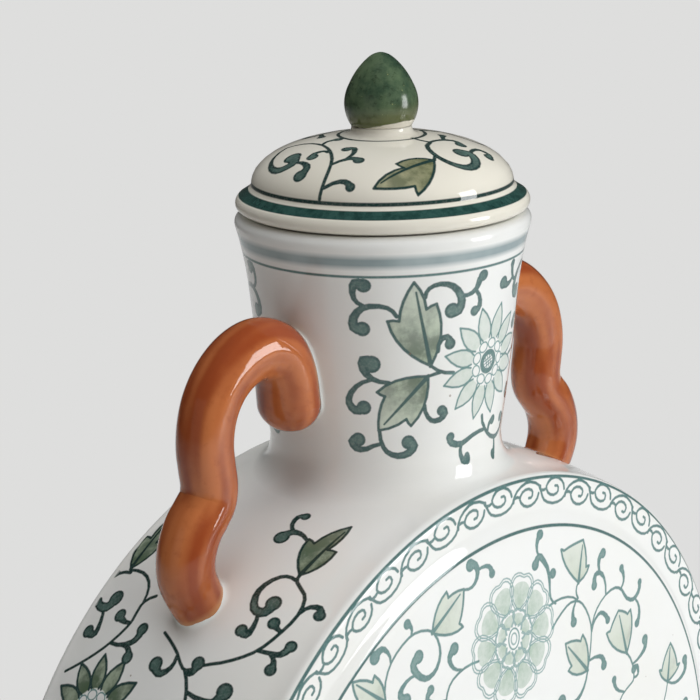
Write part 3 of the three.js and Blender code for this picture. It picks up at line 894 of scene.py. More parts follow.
# Motifs of the rim band's left side, as degrees from the top and y
BAND_STEMS = [
    [(29.5, -21.5), (30.4, -22), (32, -27), (34.5, -28.5), (38, -27), (41, -24), (43.5, -18), (45, -12),
     (46.3, -7.5), (44.5, -2), (42.8, 5)],
    [(46.3, -7.5), (48.5, -11), (51, -12.5), (54, -9), (55, 1)],
    [(38.6, 15.5), (40, 18.5), (43, 18.5), (46, 21.5), (48.5, 26), (51.5, 34)],
    [(35.8, 32), (36, 25), (37.5, 20.5), (40, 18.5)],
]
BAND_CURLS = [
    ([(24.3, -15.5), (23.7, -12), (24, -9.5), (25.2, -8.2)], 2.3),
    ([(23.7, -10), (22.8, -7.7), (21.3, -7.2), (20.8, -9)], 1.4),
    ([(30.4, -22), (30.4, -18), (32, -15), (34, -14.2), (36, -16.5), (36, -19.5), (34.4, -20.4)], 2.3),
    ([(36.2, -18), (37.8, -19.3), (39.5, -19), (39.2, -16.8)], 1.8),
    ([(37.5, -27.3), (37.3, -25.8), (36.8, -24)], 1.8),
    ([(34.3, -28.6), (33, -30), (32.6, -32.5), (33.5, -33.7)], 1.7),
    ([(40.8, -24.3), (40.5, -28), (40.2, -30.5), (38.7, -32)], 1.7),
    ([(40.6, -28), (41.3, -30), (42.4, -30.4)], 1.7),
    ([(46.3, -7.5), (46.5, -9.8), (45, -10.4)], 2.0),
    ([(45, -3), (46.7, -3), (47.8, -0.5), (46.9, 2.2)], 2.2),
    ([(48.7, -11.3), (49, -16), (48.8, -20), (47, -21.8)], 2.4),
    ([(36.2, 31), (36.8, 36), (39, 38), (41.6, 35.5), (41.8, 31.5), (40.3, 29.8)], 2.6),
    ([(42, 32.5), (43.5, 30.5), (45.7, 29.8), (45.6, 33)], 2.0),
    ([(43, 18.5), (43, 21.5), (42.4, 24)], 2.0),
    ([(46.2, 21.5), (46, 17), (45, 13.5), (43.3, 13)], 1.9),
    ([(46, 17), (46.3, 14), (47.3, 12.8)], 1.9),
]
BAND_LEAVES = [
    ((29.5, -21.5), (19.7, -22.8), (24, -15.7), (24.3, -25.3)),
    ((35.6, 32.3), (25.8, 33.5), (30, 36.5), (30.5, 28)),
]
BAND_FLOWER = (55.5, 17)

# A spray that fills the band beside each flower but the lowest
SPRAY_STEMS = [[(54, -9), (57.5, -13), (61.5, -13.8), (65.5, -15)]]
SPRAY_CURLS = [
    ([(58, -13.2), (61, -18), (64.5, -23.5), (63.5, -28.5), (60.5, -28)], 2.3),
    ([(64.8, -25), (67.3, -28), (66.3, -31.3)], 1.8),
    ([(61.5, -13.8), (64, -8.5), (63, -4), (60, -4.8)], 2.1),
    ([(57, -12.6), (55.6, -18), (53.2, -21)], 2.0),
]
SPRAY_LEAVES = [((65.5, -15), (75.5, -12.5), (70.5, -19), (70.8, -9))]

# Motifs of the lid in plan, for one half
LID_STEMS = [
    [(-34.4, -8.6), (-27, -6), (-22, -1.5), (-18.5, 4), (-17, 9), (-17, 14), (-18.5, 18)],
    [(-8, -25), (-6.8, -24.2), (-5.5, -23.3)],
]
LID_CURLS = [
    ([(-18.5, 18), (-25, 17), (-29.5, 13), (-30.6, 9), (-28.5, 6.3), (-25.8, 8.8)], 2.6),
    ([(-28.7, 7), (-28, 3.5), (-29.5, 0.2), (-32.2, 0.2)], 2.1),
    ([(-22, -0.5), (-21.7, 1.5), (-23.5, 3), (-25.2, 2.2)], 1.7),
    ([(-27, -6), (-24, -7.6), (-22.2, -9.3), (-22.2, -11.4)], 1.6),
    ([(-23, -8), (-19.5, -7.4), (-17.3, -5.3), (-18.6, -4)], 1.5),
    ([(-33, -9), (-30.5, -12), (-29.8, -13.8), (-30.1, -15.4)], 1.4),
    ([(-17.5, 5.5), (-15, 6), (-12.7, 4.4)], 1.5),
    ([(-0.5, -11), (-0.3, -14.5), (0.6, -16.4), (-2.5, -18), (-4.8, -21), (-5.8, -25), (-4.5, -28.7),
      (-1.5, -30.8), (2, -30.6), (4.8, -28.3), (5.4, -25.8), (3.1, -25)], 2.4),
    ([(5.8, -26.2), (8.5, -24.4), (12, -24), (13.5, -26), (11.6, -27.6)], 1.6),
    ([(0.6, -16.4), (6, -16.2), (9.2, -17.8), (8.2, -20.8)], 1.7),
    ([(6.5, -16.2), (9, -13.8), (10.8, -12.2)], 1.3),
]
LID_LEAVES = [((-8, -25), (-27, -20.7), (-19.5, -29.2), (-17.5, -20.2))]
LID_BANDS = [  # radius, half width and paint of the bands round the lid
    (37.7, 1.6, Canvas.DARK), (35.58, 0.48, Canvas.INK), (11.75, 0.48, Canvas.INK),
]
LID_GUIDES = (12.6, 14.0, 34.4, 35.2, 36.2, 38.6)

# Border of the panel: two rings with a running scroll between them, in degrees and millimetres
BORDER_RINGS = (115.3, 101.9)
SCROLL_PERIODS = 29
SCROLL_CRESTS = (-17.85, -11.7)  # the first outer and inner one
SCROLL_SPIRAL = [
    (2.5, 0.4), (2.0, -1.5), (0.6, -2.8), (-1.0, -2.3), (-1.9, -0.3),
    (-1.3, 1.5), (0, 2.1), (1.0, 1.2), (0.9, -0.3), (0.2, -0.5),
]
SCROLL_TAIL = [(-1.8, 0.1), (-2.6, 0.5), (-3.3, 0.2), (-3.4, -0.7)]

FACE_INK_PALED_BY_SHEEN, FACE_WASH, FACE_WEIGHT = 0.46, 0.62, 0.36  # the panel's painting is finer and has lighter washes, and its ink is painted paler as a painted reflection of the glaze's bright sheen
BAND_REPEAT = 44.0  # degrees from one winding of the band's scroll to the next


def draw(brush, stems, curls, leaves, wash=1.0, weight=0.52):
    """Draws a list of stems, curls and leaves."""
    for points in stems:
        brush.line(points, weight, 0.8 * weight)
    for points, radius in curls:
        brush.curl(points, radius, weight)
    for leaf in leaves:
        brush.leaf(*leaf, wash)


def face_canvas():
    """The round panel with its scroll border."""
    outline = face_outline()
    canvas = Canvas(on_face(outline), circle(outline.along[-1], EDGE_STEPS), spacing=5.0)
    for sixth in range(6):
        cos, sin = math.cos(sixth * 60 * DEG), math.sin(sixth * 60 * DEG)
        brush = Brush(canvas, lambda x, z, c=cos, s=sin: (c * x + s * z, c * z - s * x), FACE_INK_PALED_BY_SHEEN)
        if sixth % 2:
            draw(brush, FILL_STEMS, FILL_CURLS, FILL_LEAVES, FACE_WASH, FACE_WEIGHT)
        else:
            draw(brush, FACE_STEMS, FACE_CURLS, FACE_LEAVES, FACE_WASH, FACE_WEIGHT)
            peony(brush, FACE_FLOWER)
    peony(Brush(canvas, lambda x, z: (x, z), FACE_INK_PALED_BY_SHEEN), (0, 0))
    border_scroll(canvas, outline)
    step_radii = np.array(PANEL_EDGE)[:, 0]
    corner = outline.along[-1] - np.array([3.4, 2.5, 1.7, 0.9])
    for along in [*outline.of_radius(step_radii), *corner]:
        canvas.guide(circle(along, EDGE_STEPS), True)
    return canvas


def border_scroll(canvas, outline):
    """Two lines round the panel with a running scroll between them."""

    def chart(angle, radius):
        along = outline.of_radius(radius)
        return along * math.sin(angle * DEG), along * math.cos(angle * DEG)

    # the border's ink is painted paler too, as a painted reflection of the glaze's sheen on the panel
    brush = Brush(canvas, chart, 0.55)
    for radius in BORDER_RINGS:
        canvas.stroke(looped(circle(outline.of_radius(radius), 200)), 0.42, 0.65)
    pitch = 360 / SCROLL_PERIODS
    for k in range(SCROLL_PERIODS):
        outer, inner = (crest + k * pitch for crest in SCROLL_CRESTS)
        wave = [
            (outer - pitch / 4, 111.5), (outer - 2.2, 113.2), (outer, 114.6), (outer + 2.4, 113.3),
            (outer + pitch / 4, 111.2), (inner - 2.3, 109), (inner, 107.8), (inner + 2.3, 109),
            (inner + pitch / 4, 111.5),
        ]
        brush.line(wave, 0.38, 0.38)
        for middle, centre, way in ((outer, 110.6, 1), (inner, 112.2, -1)):
            for shape, start, end in ((SCROLL_SPIRAL, 0.4, 0.38), (SCROLL_TAIL, 0.36, 0.5)):
                brush.line([(middle + a, centre + way * b) for a, b in shape], start, end)


def band_loop(inset, bore):
    """Edge of the band's left half, from the neck's opening at the front round to the one at the back."""
    half = BAND_HALF - inset
    steps = EDGE_STEPS // 2
    down = np.arange(steps + 1) * math.pi / steps * RIM_MEAN
    theta = np.linspace(-math.pi, 0, TURN_STEPS // 2 + 1)
    x, y = around(bore(theta), theta)
    hole = np.stack([np.arcsin(np.clip(-x / rim_radius(y, inset), 0, 1)) * RIM_MEAN, y], 1)
    across = np.linspace(-half, half, 17)[1:-1]
    return np.concatenate([
        np.stack([down, np.full(len(down), -half)], 1),
        np.stack([np.full(len(across), down[-1]), across], 1),
        np.stack([down[::-1], np.full(len(down), half)], 1),
        hole,
    ])


def middle_line(inset, bore):
    """The middle of the band's left half, from the neck's opening down to the lowest point."""
    angle = np.linspace(math.asin(bore / (RIM_R - inset)), math.pi, 61)
    return np.stack([angle * RIM_MEAN, np.zeros(len(angle))], 1)


def band_canvas():
    """The left half of the rim band: a winding scroll with a flower under the handle."""
    canvas = Canvas(on_band(), band_loop(0.0, skirt_radius), spacing=6.0, outward=-1)
    canvas.guide(middle_line(0.0, skirt_radius(math.pi / 2)))
    for k, side in ((0, 1), (1, -1), (2, 1)):
        start = k * BAND_REPEAT
        brush = Brush(canvas, lambda a, y, b=start, s=side: ((a + b) * DEG * RIM_MEAN, s * y), 1.0, 0.9)
        draw(brush, BAND_STEMS, BAND_CURLS, BAND_LEAVES)
        if k < 2:
            draw(brush, SPRAY_STEMS, SPRAY_CURLS, SPRAY_LEAVES)
        starflower(brush, BAND_FLOWER, 16.5, 1.0, Canvas.LEAF, 0.95)
    return canvas


def neck_canvas():
    """The front half of the neck: two bands under the lip and a flower between mirrored sprays."""
    quarter = math.pi / 2 * NECK_MEAN
    steps = TURN_STEPS // 4
    across = np.arange(-steps, steps + 1) / steps * quarter

    def level(z):
        return np.stack([across, np.full(len(across), z)], 1)

    edges = [
        z + side * half + way * soft / 2
        for z, half, soft, _ in NECK_BANDS
        for side in (-1, 1)
        for way in (-1, 1)
    ]
    skirt_rows = THROAT_Z - SKIRT * np.array([0, 0.2, 0.4, 0.6, 0.8])
    rows = np.linspace(THROAT_Z, LIP_Z, 20)[1:-1]
    rise = np.sort(np.concatenate([skirt_rows, rows, edges]))
    right_side = np.stack([np.full(len(rise), quarter), rise], 1)
    left_side = right_side[::-1] * [-1, 1]
    loop = np.concatenate([level(THROAT_Z - SKIRT), right_side, level(LIP_Z)[::-1], left_side])
    canvas = Canvas(on_neck, loop, spacing=3.5)
    middle = NECK_FLOWER[0]
    # the ink is painted paler on the right spray and most of all in the middle flower, as a painted
    # reflection of the glaze's bright sheen there
    left = Brush(canvas, lambda a, z: (a * DEG * NECK_MEAN, z + THROAT_Z), 0.8)
    right = Brush(canvas, lambda a, z: ((2 * middle - a) * DEG * NECK_MEAN, z + THROAT_Z), 0.74)
    for brush in (left, right):
        draw(brush, NECK_STEMS, NECK_CURLS, NECK_LEAVES)
    sheen_paled = Brush(canvas, left.chart, 0.7, 0.7)
    draw(sheen_paled, [], NECK_CENTRE_CURLS, [])
    starflower(sheen_paled, NECK_FLOWER, 16.0, 0.55)
    for z, half, _, channel in NECK_BANDS:
        canvas.stroke(level(z), half, 0.6, channel)
    left.dot(NECK_DROP, 0.6)
    for z in skirt_rows:
        canvas.guide(level(z))
    return canvas


def lid_canvas(outline):
    """The lid's dome: sprays of scroll, a line at the foot of the dome and a band on the edge."""
    inner, outer = outline.along[0], outline.along[-1]
    canvas = Canvas(on_lid(outline), circle(outer, TURN_STEPS), circle(inner, TURN_STEPS), spacing=3.0)

    def chart(x, y, way):
        radius = math.hypot(x, y)
        scale = outline.of_radius(radius) / radius
        return way * x * scale, way * y * scale

    for way in (1, -1):
        brush = Brush(canvas, lambda x, y, w=way: chart(x, y, w), 1.0, 0.8)
        draw(brush, LID_STEMS, LID_CURLS, LID_LEAVES)
    for radius, half, channel in LID_BANDS:
        canvas.stroke(looped(circle(outline.of_radius(radius), TURN_STEPS)), half, 1.0, channel)
    for radius in LID_GUIDES:
        canvas.guide(circle(outline.of_radius(radius), TURN_STEPS), True)
    return canvas


class Recipe:
    """A material's nodes, put together a step at a time."""

    def __init__(self, name):
        self.material = bpy.data.materials.new(name)
        self.material.use_nodes = True
        self.tree = self.material.node_tree
        self.shader = self.tree.nodes["Principled BSDF"]
        self.place = self.node("ShaderNodeTexCoord").outputs["Object"]

    def node(self, kind, **settings):
        made = self.tree.nodes.new(kind)
        for name, value in settings.items():
            setattr(made, name, value)
        return made

    def feed(self, socket, source):
        if isinstance(source, bpy.types.NodeSocket):
            self.tree.links.new(source, socket)
        else:
            socket.default_value = source

    def noise(self, scale, detail=3.0, rough=0.55):
        made = self.node("ShaderNodeTexNoise")
        self.feed(made.inputs["Vector"], self.place)
        self.feed(made.inputs["Scale"], scale)
        self.feed(made.inputs["Detail"], detail)
        self.feed(made.inputs["Roughness"], rough)
        return made.outputs["Fac"]

    def cells(self, scale):
        made = self.node("ShaderNodeTexVoronoi")
        self.feed(made.inputs["Vector"], self.place)
        self.feed(made.inputs["Scale"], scale)
        return made

    def sums(self, operation, a, b):
        made = self.node("ShaderNodeMath", operation=operation)
        self.feed(made.inputs[0], a)
        self.feed(made.inputs[1], b)
        return made.outputs[0]

    def between(self, value, low, high, to_low=0.0, to_high=1.0):
        made = self.node("ShaderNodeMapRange", interpolation_type="SMOOTHSTEP")
        titles = ("Value", "From Min", "From Max", "To Min", "To Max")
        for title, source in zip(titles, (value, low, high, to_low, to_high)):
            self.feed(made.inputs[title], source)
        return made.outputs["Result"]

    def mix(self, share, under, over):
        made = self.node("ShaderNodeMix", data_type="RGBA")
        self.feed(made.inputs[0], share)
        self.feed(made.inputs[6], under)
        self.feed(made.inputs[7], over)
        return made.outputs[2]

    def bump(self, height, strength, distance):
        made = self.node("ShaderNodeBump")
        self.feed(made.inputs["Strength"], strength)
        self.feed(made.inputs["Distance"], distance)
        self.feed(made.inputs["Height"], height)
        self.feed(self.shader.inputs["Normal"], made.outputs["Normal"])

    def painted(self, name):
        """The red, green, blue and alpha of a painted layer."""
        layer = self.node("ShaderNodeAttribute", attribute_name=name)
        split = self.node("ShaderNodeSeparateColor")
        self.feed(split.inputs["Color"], layer.outputs["Color"])
        return [*(split.outputs[c] for c in ("Red", "Green", "Blue")), layer.outputs["Alpha"]]


def rgb(red, green, blue):
    """A colour given as it is seen, from 0 to 255, in linear light."""
    seen = [c / 255 for c in (red, green, blue)]
    linear = [c / 12.92 if c < 0.0404 else ((c + 0.055) / 1.055) ** 2.4 for c in seen]
    return (*linear, 1.0)


GLAZE_IOR = 1.52
BUMP_DEPTH = 2 * MM
PAPER = rgb(222, 222, 221)  # colour of the floor and the backdrop


def painted_glaze(name, white, ink_dark, leaf_dark, leaf_light):
    """Glossy clear glaze over a white body and its brush work, whose ink is paler where it is thin, and
    where its paleness is a painted reflection of the glaze's bright sheen.
    """
    made = Recipe(name)
    ink, core, leaf, petal = made.painted("paint")
    dark, grey, thin, _ = made.painted("bands")
    cloud = made.noise(14.0, 4.0)
    mottle = made.noise(420.0, 4.0, 0.65)
    blotch = made.noise(170.0, 5.0, 0.6)
    fine = made.noise(1500.0, 2.0)
    warm = tuple(c * k for c, k in zip(white[:3], (0.985, 0.975, 0.945))) + (1.0,)
    colour = made.mix(made.between(cloud, 0.42, 0.68, 0.0, 0.7), white, warm)
    wash = made.sums("MULTIPLY", petal, made.between(mottle, 0.3, 0.7, 0.65, 1.0))
    colour = made.mix(wash, colour, rgb(164, 188, 170))
    pooled = made.sums("ADD", leaf, made.between(blotch, 0.3, 0.7, -0.28, 0.28))
    leaf_tone = made.mix(made.between(pooled, 0.4, 1.1), leaf_light, leaf_dark)
    leaf_share = made.sums("MULTIPLY", leaf, made.between(blotch, 0.3, 0.65, 0.85, 1.0))
    colour = made.mix(leaf_share, colour, leaf_tone)
    blob = made.sums("MULTIPLY", core, made.between(blotch, 0.3, 0.7, 0.25, 0.8))
    # the light teal tones stand for thin ink and for ink seen through the glaze's bright sheen, which is a
    # painted reflection
    blob_tone = made.mix(thin, rgb(92, 120, 112), rgb(150, 182, 178))
    ink_tone = made.mix(blob, made.mix(thin, ink_dark, rgb(128, 172, 170)), blob_tone)
    ink_share = made.sums("MULTIPLY", ink, made.between(fine, 0.25, 0.6, 0.93, 1.0))
    colour = made.mix(ink_share, colour, ink_tone)
    band_tone = made.mix(made.between(mottle, 0.3, 0.7), rgb(30, 62, 58), rgb(52, 88, 82))
    colour = made.mix(dark, colour, band_tone)
    broad = made.noise(60.0)
    grey_tone = made.mix(made.between(broad, 0.3, 0.7), rgb(146, 162, 165), rgb(170, 184, 186))
    colour = made.mix(grey, colour, grey_tone)
    specks = made.cells(150.0)
    size = made.between(made.noise(90.0, 0.0), 0.6, 0.75, 0.0, 0.055)
    fleck = made.sums("LESS_THAN", specks.outputs["Distance"], size)
    colour = made.mix(made.sums("MULTIPLY", fleck, 0.55), colour, rgb(120, 96, 70))
    made.feed(made.shader.inputs["Base Color"], colour)
    made.feed(made.shader.inputs["Roughness"], made.between(broad, 0.3, 0.7, 0.03, 0.07))
    made.shader.inputs["IOR"].default_value = GLAZE_IOR
    made.bump(made.noise(55.0, 2.0), 0.05, BUMP_DEPTH)
    return made.material


def rust_glaze():
    """Terracotta coloured glaze with streaks along the rod, thin and ochre where it meets the white."""
    made = Recipe("rust_glaze")
    streak, thin, _, _ = made.painted("paint")
    cloud = made.noise(70.0, 4.0)
    grain = made.noise(300.0, 4.0, 0.6)
    shade = made.sums("ADD", made.sums("MULTIPLY", streak, 0.65), made.sums("MULTIPLY", cloud, 0.35))
    colour = made.mix(made.between(shade, 0.3, 0.7), rgb(152, 72, 38), rgb(190, 112, 66))
    colour = made.mix(made.between(grain, 0.5, 0.75, 0.0, 0.3), colour, rgb(140, 66, 36))
    edge = made.sums("MULTIPLY", thin, made.between(cloud, 0.3, 0.6, 0.3, 0.9))
    colour = made.mix(edge, colour, rgb(206, 150, 98))
    made.feed(made.shader.inputs["Base Color"], colour)
    made.feed(made.shader.inputs["Roughness"], made.between(grain, 0.3, 0.7, 0.04, 0.08))
    made.shader.inputs["IOR"].default_value = GLAZE_IOR
    made.bump(made.noise(110.0, 3.0), 0.07, BUMP_DEPTH)
    return made.material


def green_glaze():
    """Mottled dark green glaze with an olive foot and small specks, which stops short of the collar."""
    made = Recipe("green_glaze")
    cloud = made.noise(120.0, 5.0, 0.6)
    fine = made.noise(700.0, 4.0, 0.65)
    split = made.node("ShaderNodeSeparateXYZ")
    made.feed(split.inputs[0], made.place)
    lean_y = made.sums("MULTIPLY", split.outputs["Y"], 0.09)
    lean_x = made.sums("MULTIPLY", split.outputs["X"], 0.08)
    lean = made.sums("SUBTRACT", lean_y, lean_x)
    wobble = made.between(made.noise(160.0, 2.0), 0.3, 0.7, -0.4 * MM, 0.4 * MM)
    height = made.sums("ADD", made.sums("ADD", split.outputs["Z"], lean), wobble)
    colour = made.mix(made.between(cloud, 0.35, 0.65), rgb(50, 72, 56), rgb(92, 112, 84))
    colour = made.mix(made.between(fine, 0.5, 0.72, 0.0, 0.6), colour, rgb(38, 48, 34))
    olive = made.between(height, (COLLAR_Z + 2) * MM, (COLLAR_Z + 7) * MM, 0.75, 0.0)
    colour = made.mix(olive, colour, rgb(98, 102, 58))
    specks = made.cells(900.0)
    size = made.between(made.noise(260.0, 0.0), 0.5, 0.8, 0.0, 0.2)
    fleck = made.sums("LESS_THAN", specks.outputs["Distance"], size)
    colour = made.mix(made.sums("MULTIPLY", fleck, 0.6), colour, rgb(150, 156, 104))
    bare = made.between(height, (COLLAR_Z + 0.6) * MM, (COLLAR_Z + 1.0) * MM, 1.0, 0.0)
    colour = made.mix(bare, colour, rgb(226, 220, 206))
    made.feed(made.shader.inputs["Base Color"], colour)
    made.feed(made.shader.inputs["Roughness"], made.between(fine, 0.3, 0.7, 0.12, 0.2))
    made.shader.inputs["IOR"].default_value = GLAZE_IOR
    made.bump(cloud, 0.08, BUMP_DEPTH)
    return made.material


def body_sheets():
    """Meshes of the body's face and rim band, outside and inside."""
    inner = face_outline(BODY_WALL)
    edge = circle(inner.along[-1], EDGE_STEPS)
    face_lining = Canvas(on_face(inner), edge, spacing=LINING_SPACING, outward=-1)
    edge = band_loop(BODY_WALL, lambda theta: np.full(len(theta), BORE_R))
    band_lining = Canvas(on_band(BODY_WALL), edge, spacing=LINING_SPACING)
    band_lining.guide(middle_line(BODY_WALL, BORE_R))
    return [canvas.mesh() for canvas in (face_canvas(), band_canvas(), face_lining, band_lining)]


def half_mesh(mesh, back):
    """The part of a rim band's mesh in front of or behind its middle."""
    points, normals, faces, paint, flat = mesh
    faces = faces[(flat[faces].mean(1)[:, 1] > 0) == back]
    used, index = np.unique(faces, return_inverse=True)
    return points[used], normals[used], index.reshape(-1, 3), paint[used], flat[used]


def seam_line(mesh):
    """The points of half a rim band that lie on its middle, from the neck's opening down."""
    points, _, _, _, flat = mesh
    middle = np.flatnonzero(np.abs(flat[:, 1]) < CUT_GAP)
    return points[middle[np.argsort(flat[middle, 0])]]


def body_piece(glaze, sheets, name, node, back):
    """A half of the round body: a painted face, its half of the rim band, and the bare inside."""
    face, band, face_lining, band_lining = sheets
    turn = (-1, -1) if back else (1, 1)
    size = 400.0
    shell = Shell()
    shell.sheet(face, (3, 3), size, turn)
    shell.sheet(face_lining, (1040, 20), 4 * size, turn)
    outside, lining = half_mesh(band, back), half_mesh(band_lining, back)
    outer_rim, inner_rim = seam_line(outside), seam_line(lining)
    for row, side in enumerate((1, -1)):
        shell.sheet(outside, (3, 256 + 42 * row), size, (side, 1))
        shell.sheet(lining, (1040, 300 + 60 * row), 4 * size, (side, 1))
        rim = np.concatenate([outer_rim, inner_rim[::-1]]) * [side, 1, 1]
        low = 0.4 + 0.05 * row
        place = [(0.66 + 0.32 * u, low) for u in np.linspace(0, 1, len(outer_rim))]
        place += [(0.98 - 0.32 * u, low + 0.03) for u in np.linspace(0, 1, len(inner_rim))]
        way = -1 if (side > 0) != back else 1
        shell.add(rim, np.zeros(rim.shape), [np.arange(len(rim))[::way]], [place[::way]])
    theta = np.linspace(-0.5, 0.5, TURN_STEPS // 2 + 1) * math.pi + back * math.pi
    loops = []
    for radius, inset in ((skirt_radius(theta), 0.0), (BORE_R, BODY_WALL)):
        x, y = around(radius, theta)
        loops.append(np.stack([x, y, BODY_Z + np.sqrt(rim_radius(y, inset) ** 2 - x**2)], 1))
    shell.loft(loops, (0.66, 0.3, 0.98, 0.34), closed=False)
    return shell.build(name, [glaze], "vase", "white_glaze", node)


def neck_piece(glaze):
    """The neck: painted outside, rounded lip and plain bore."""
    shell = Shell()
    size = 120.0
    front = neck_canvas().mesh()
    shell.sheet(front, (2, 2), size)
    shell.sheet(front, (2, 72), size, (-1, -1))
    lip_r, mouth = NECK_SIDE[-1][0], MOUTH_Z
    crown = (lip_r - 2.4, mouth)
    lip = spline([(lip_r, LIP_Z), (lip_r + 0.2, mouth - 1.9), (lip_r - 0.6, mouth - 0.7), crown], 4)
    top = bend(crown, (34, mouth), (34, mouth - 2.0), 5)[1:]
    bore = [(neck_radius(z) - NECK_WALL, z) for z in np.linspace(mouth - 14, THROAT_Z + 1, 8)]
    outline = np.concatenate([lip, top, bore, [(BORE_R, THROAT_Z - 4), (BORE_R, THROAT_Z - 7)]])
    loops = turned(outline)
    shell.loft(loops, (0.03, 0.0, 0.97, 0.012))
    theta = round_steps(TURN_STEPS)
    x, y = around(skirt_radius(theta), theta)
    foot = np.stack([x, y, shoulder_height(x, y)], 1)
    shell.loft([loops[-1], foot], (0.96, 0.05, 0.99, 0.9))
    return shell.build("glazed_neck", [glaze], "vase", "white_glaze", "neck")


def lid_piece(glaze):
    """The lid's cover: painted dome, cream rounded edge, hollow underside and white collar."""
    shell = Shell()
    size = 110.0
    outline = dome_outline()
    shell.sheet(lid_canvas(outline).mesh(), (2, 2), size)
    foot = (LID_FOOT_R, SEAT_Z)
    edge = spline([(LID_R, EDGE_Z), (LID_R + 0.8, SEAT_Z + 2.7), (LID_R + 0.5, SEAT_Z + 1.2), foot], 6)
    rise = np.linspace(1, 0, 12)
    hollow = np.stack([RING_IN * np.sqrt(1 - rise**2.2), SEAT_Z + HOLLOW_RISE * rise], 1)
    shell.loft(turned(edge[::-1]), (0.03, 0.86, 0.97, 0.92))
    shell.loft(turned([*hollow, foot]), (0.03, 0.93, 0.97, 0.99))
    foot_z = outline.points[0, 1]
    collar = bend((COLLAR_FOOT_R, foot_z), (COLLAR_R - 0.3, foot_z + 0.3), (COLLAR_R, COLLAR_Z), 10)
    top = np.array([(4.0, COLLAR_Z), (0.0, COLLAR_Z)])
    shell.loft(turned(np.concatenate([collar, top])), (0.86, 0.03, 0.97, 0.4))
    return shell.build("glazed_lid", [glaze], "lid", "white_glaze", "lid_cover")


def ring_piece(glaze):
    """The ring under the lid that sits inside the neck, with softened edges."""
    low, high = RING_LOW[2], RING_HIGH[2]
    soft = 0.8
    outline = np.concatenate([
        [(RING_IN, high)],
        bend((RING_IN, low + soft), (RING_IN, low), (RING_IN + soft, low), 4),
        bend((RING_OUT - soft, low), (RING_OUT, low), (RING_OUT, low + soft), 4),
        [(RING_OUT, high), (RING_IN, high)],
    ])
    shell = Shell()
    shell.loft(turned(outline), (0.02, 0.02, 0.98, 0.98))
    return shell.build("lid_ring", [glaze], "lid", "white_glaze", "lid_locating_ring")


def bud_piece(glaze):
    """The pointed bud on the lid."""
    height = BUD_TOP - COLLAR_Z
    side = spline([(COLLAR_R, 0), *BUD_SIDE, (0.9, height - 0.12), (0, height)], 8)
    outline = np.concatenate([[(0, 0), (4, 0)], side]) + [0, COLLAR_Z]
    shell = Shell()
    shell.loft(turned(outline), (0.02, 0.02, 0.98, 0.98))
    return shell.build("bud", [glaze], "lid", "green_glaze", "bud_finial")


class Rod:
    """The handle's hand-rolled rod: its line, its directions and its half sizes, on the right side."""

    def __init__(self, droop):
        line = spline(ROD_LINE, 10)
        waist_z, arch_z = ROD_LINE[7][1], ROD_LINE[13][1]
        drop = np.clip((line[:, 1] - waist_z) / (arch_z - waist_z), 0, 1)
        line[:, 1] -= droop * drop**2 * (3 - 2 * drop)
        along = lengths(line)
        tangent = unit(np.gradient(line, along, axis=0))
        flat = np.zeros(len(line))
        self.share = along / along[-1]
        self.line = np.stack([line[:, 0], flat, line[:, 1]], 1)
        self.ahead = np.stack([tangent[:, 0], flat, tangent[:, 1]], 1)
        self.out = np.stack([tangent[:, 1], flat, -tangent[:, 0]], 1)
        sizes = spline(ROD_SIZES, 10)
        places = np.linspace(0, 1, len(sizes))
        self.sizes = np.stack([np.interp(self.share, places, sizes[:, k]) for k in (0, 1)], 1)

    def ring(self, i, ahead=0.0, scale=1.0):
        """A loop round the rod at one of its points, with the soft flats of hand-rolled clay."""
        turn = round_steps(ROD_SIDES)[:, None]
        share = self.share[i]
        flats = 0.012 * np.sin(3 * turn + 0.8 + 5 * share) + 0.008 * np.sin(5 * turn + 2 + 9 * share)
        thick, wide = scale * self.sizes[i]
        middle = self.line[i] + ahead * self.ahead[i]
        side = np.array([0, 1, 0])
        return middle + (1 + flats) * (thick * np.cos(turn) * self.out[i] + wide * np.sin(turn) * side)

    def loops(self):
        """Loops from the foot, inside the body's wall, to the rounded end."""
        loops = [np.repeat(self.line[:1], ROD_SIDES, axis=0)]
        loops += [self.ring(i) for i in range(len(self.line))]
        for lean in np.linspace(0, math.pi / 2, 11)[1:]:
            loops.append(self.ring(-1, ROD_CAP * math.sin(lean), math.cos(lean)))
        return np.array(loops)

    def level(self, points):
        """How far out points lie, where 1 is the rod's surface, and the surface's direction there."""
        nearest = np.linalg.norm(points[:, None] - self.line, axis=2).argmin(1)
        away = points - self.line[nearest]
        wide = (away * self.out[nearest]).sum(1) / self.sizes[nearest, 0]
        across = away[:, 1] / self.sizes[nearest, 1]
        past = np.where(nearest == len(self.line) - 1, (away * self.ahead[nearest]).sum(1) / ROD_CAP, 0)
        normal = (wide / self.sizes[nearest, 0])[:, None] * self.out[nearest]
        normal[:, 1] += across / self.sizes[nearest, 1]
        normal += (np.maximum(past, 0) / ROD_CAP)[:, None] * self.ahead[nearest]
        return np.sqrt(wide**2 + across**2 + np.maximum(past, 0) ** 2), unit(normal)


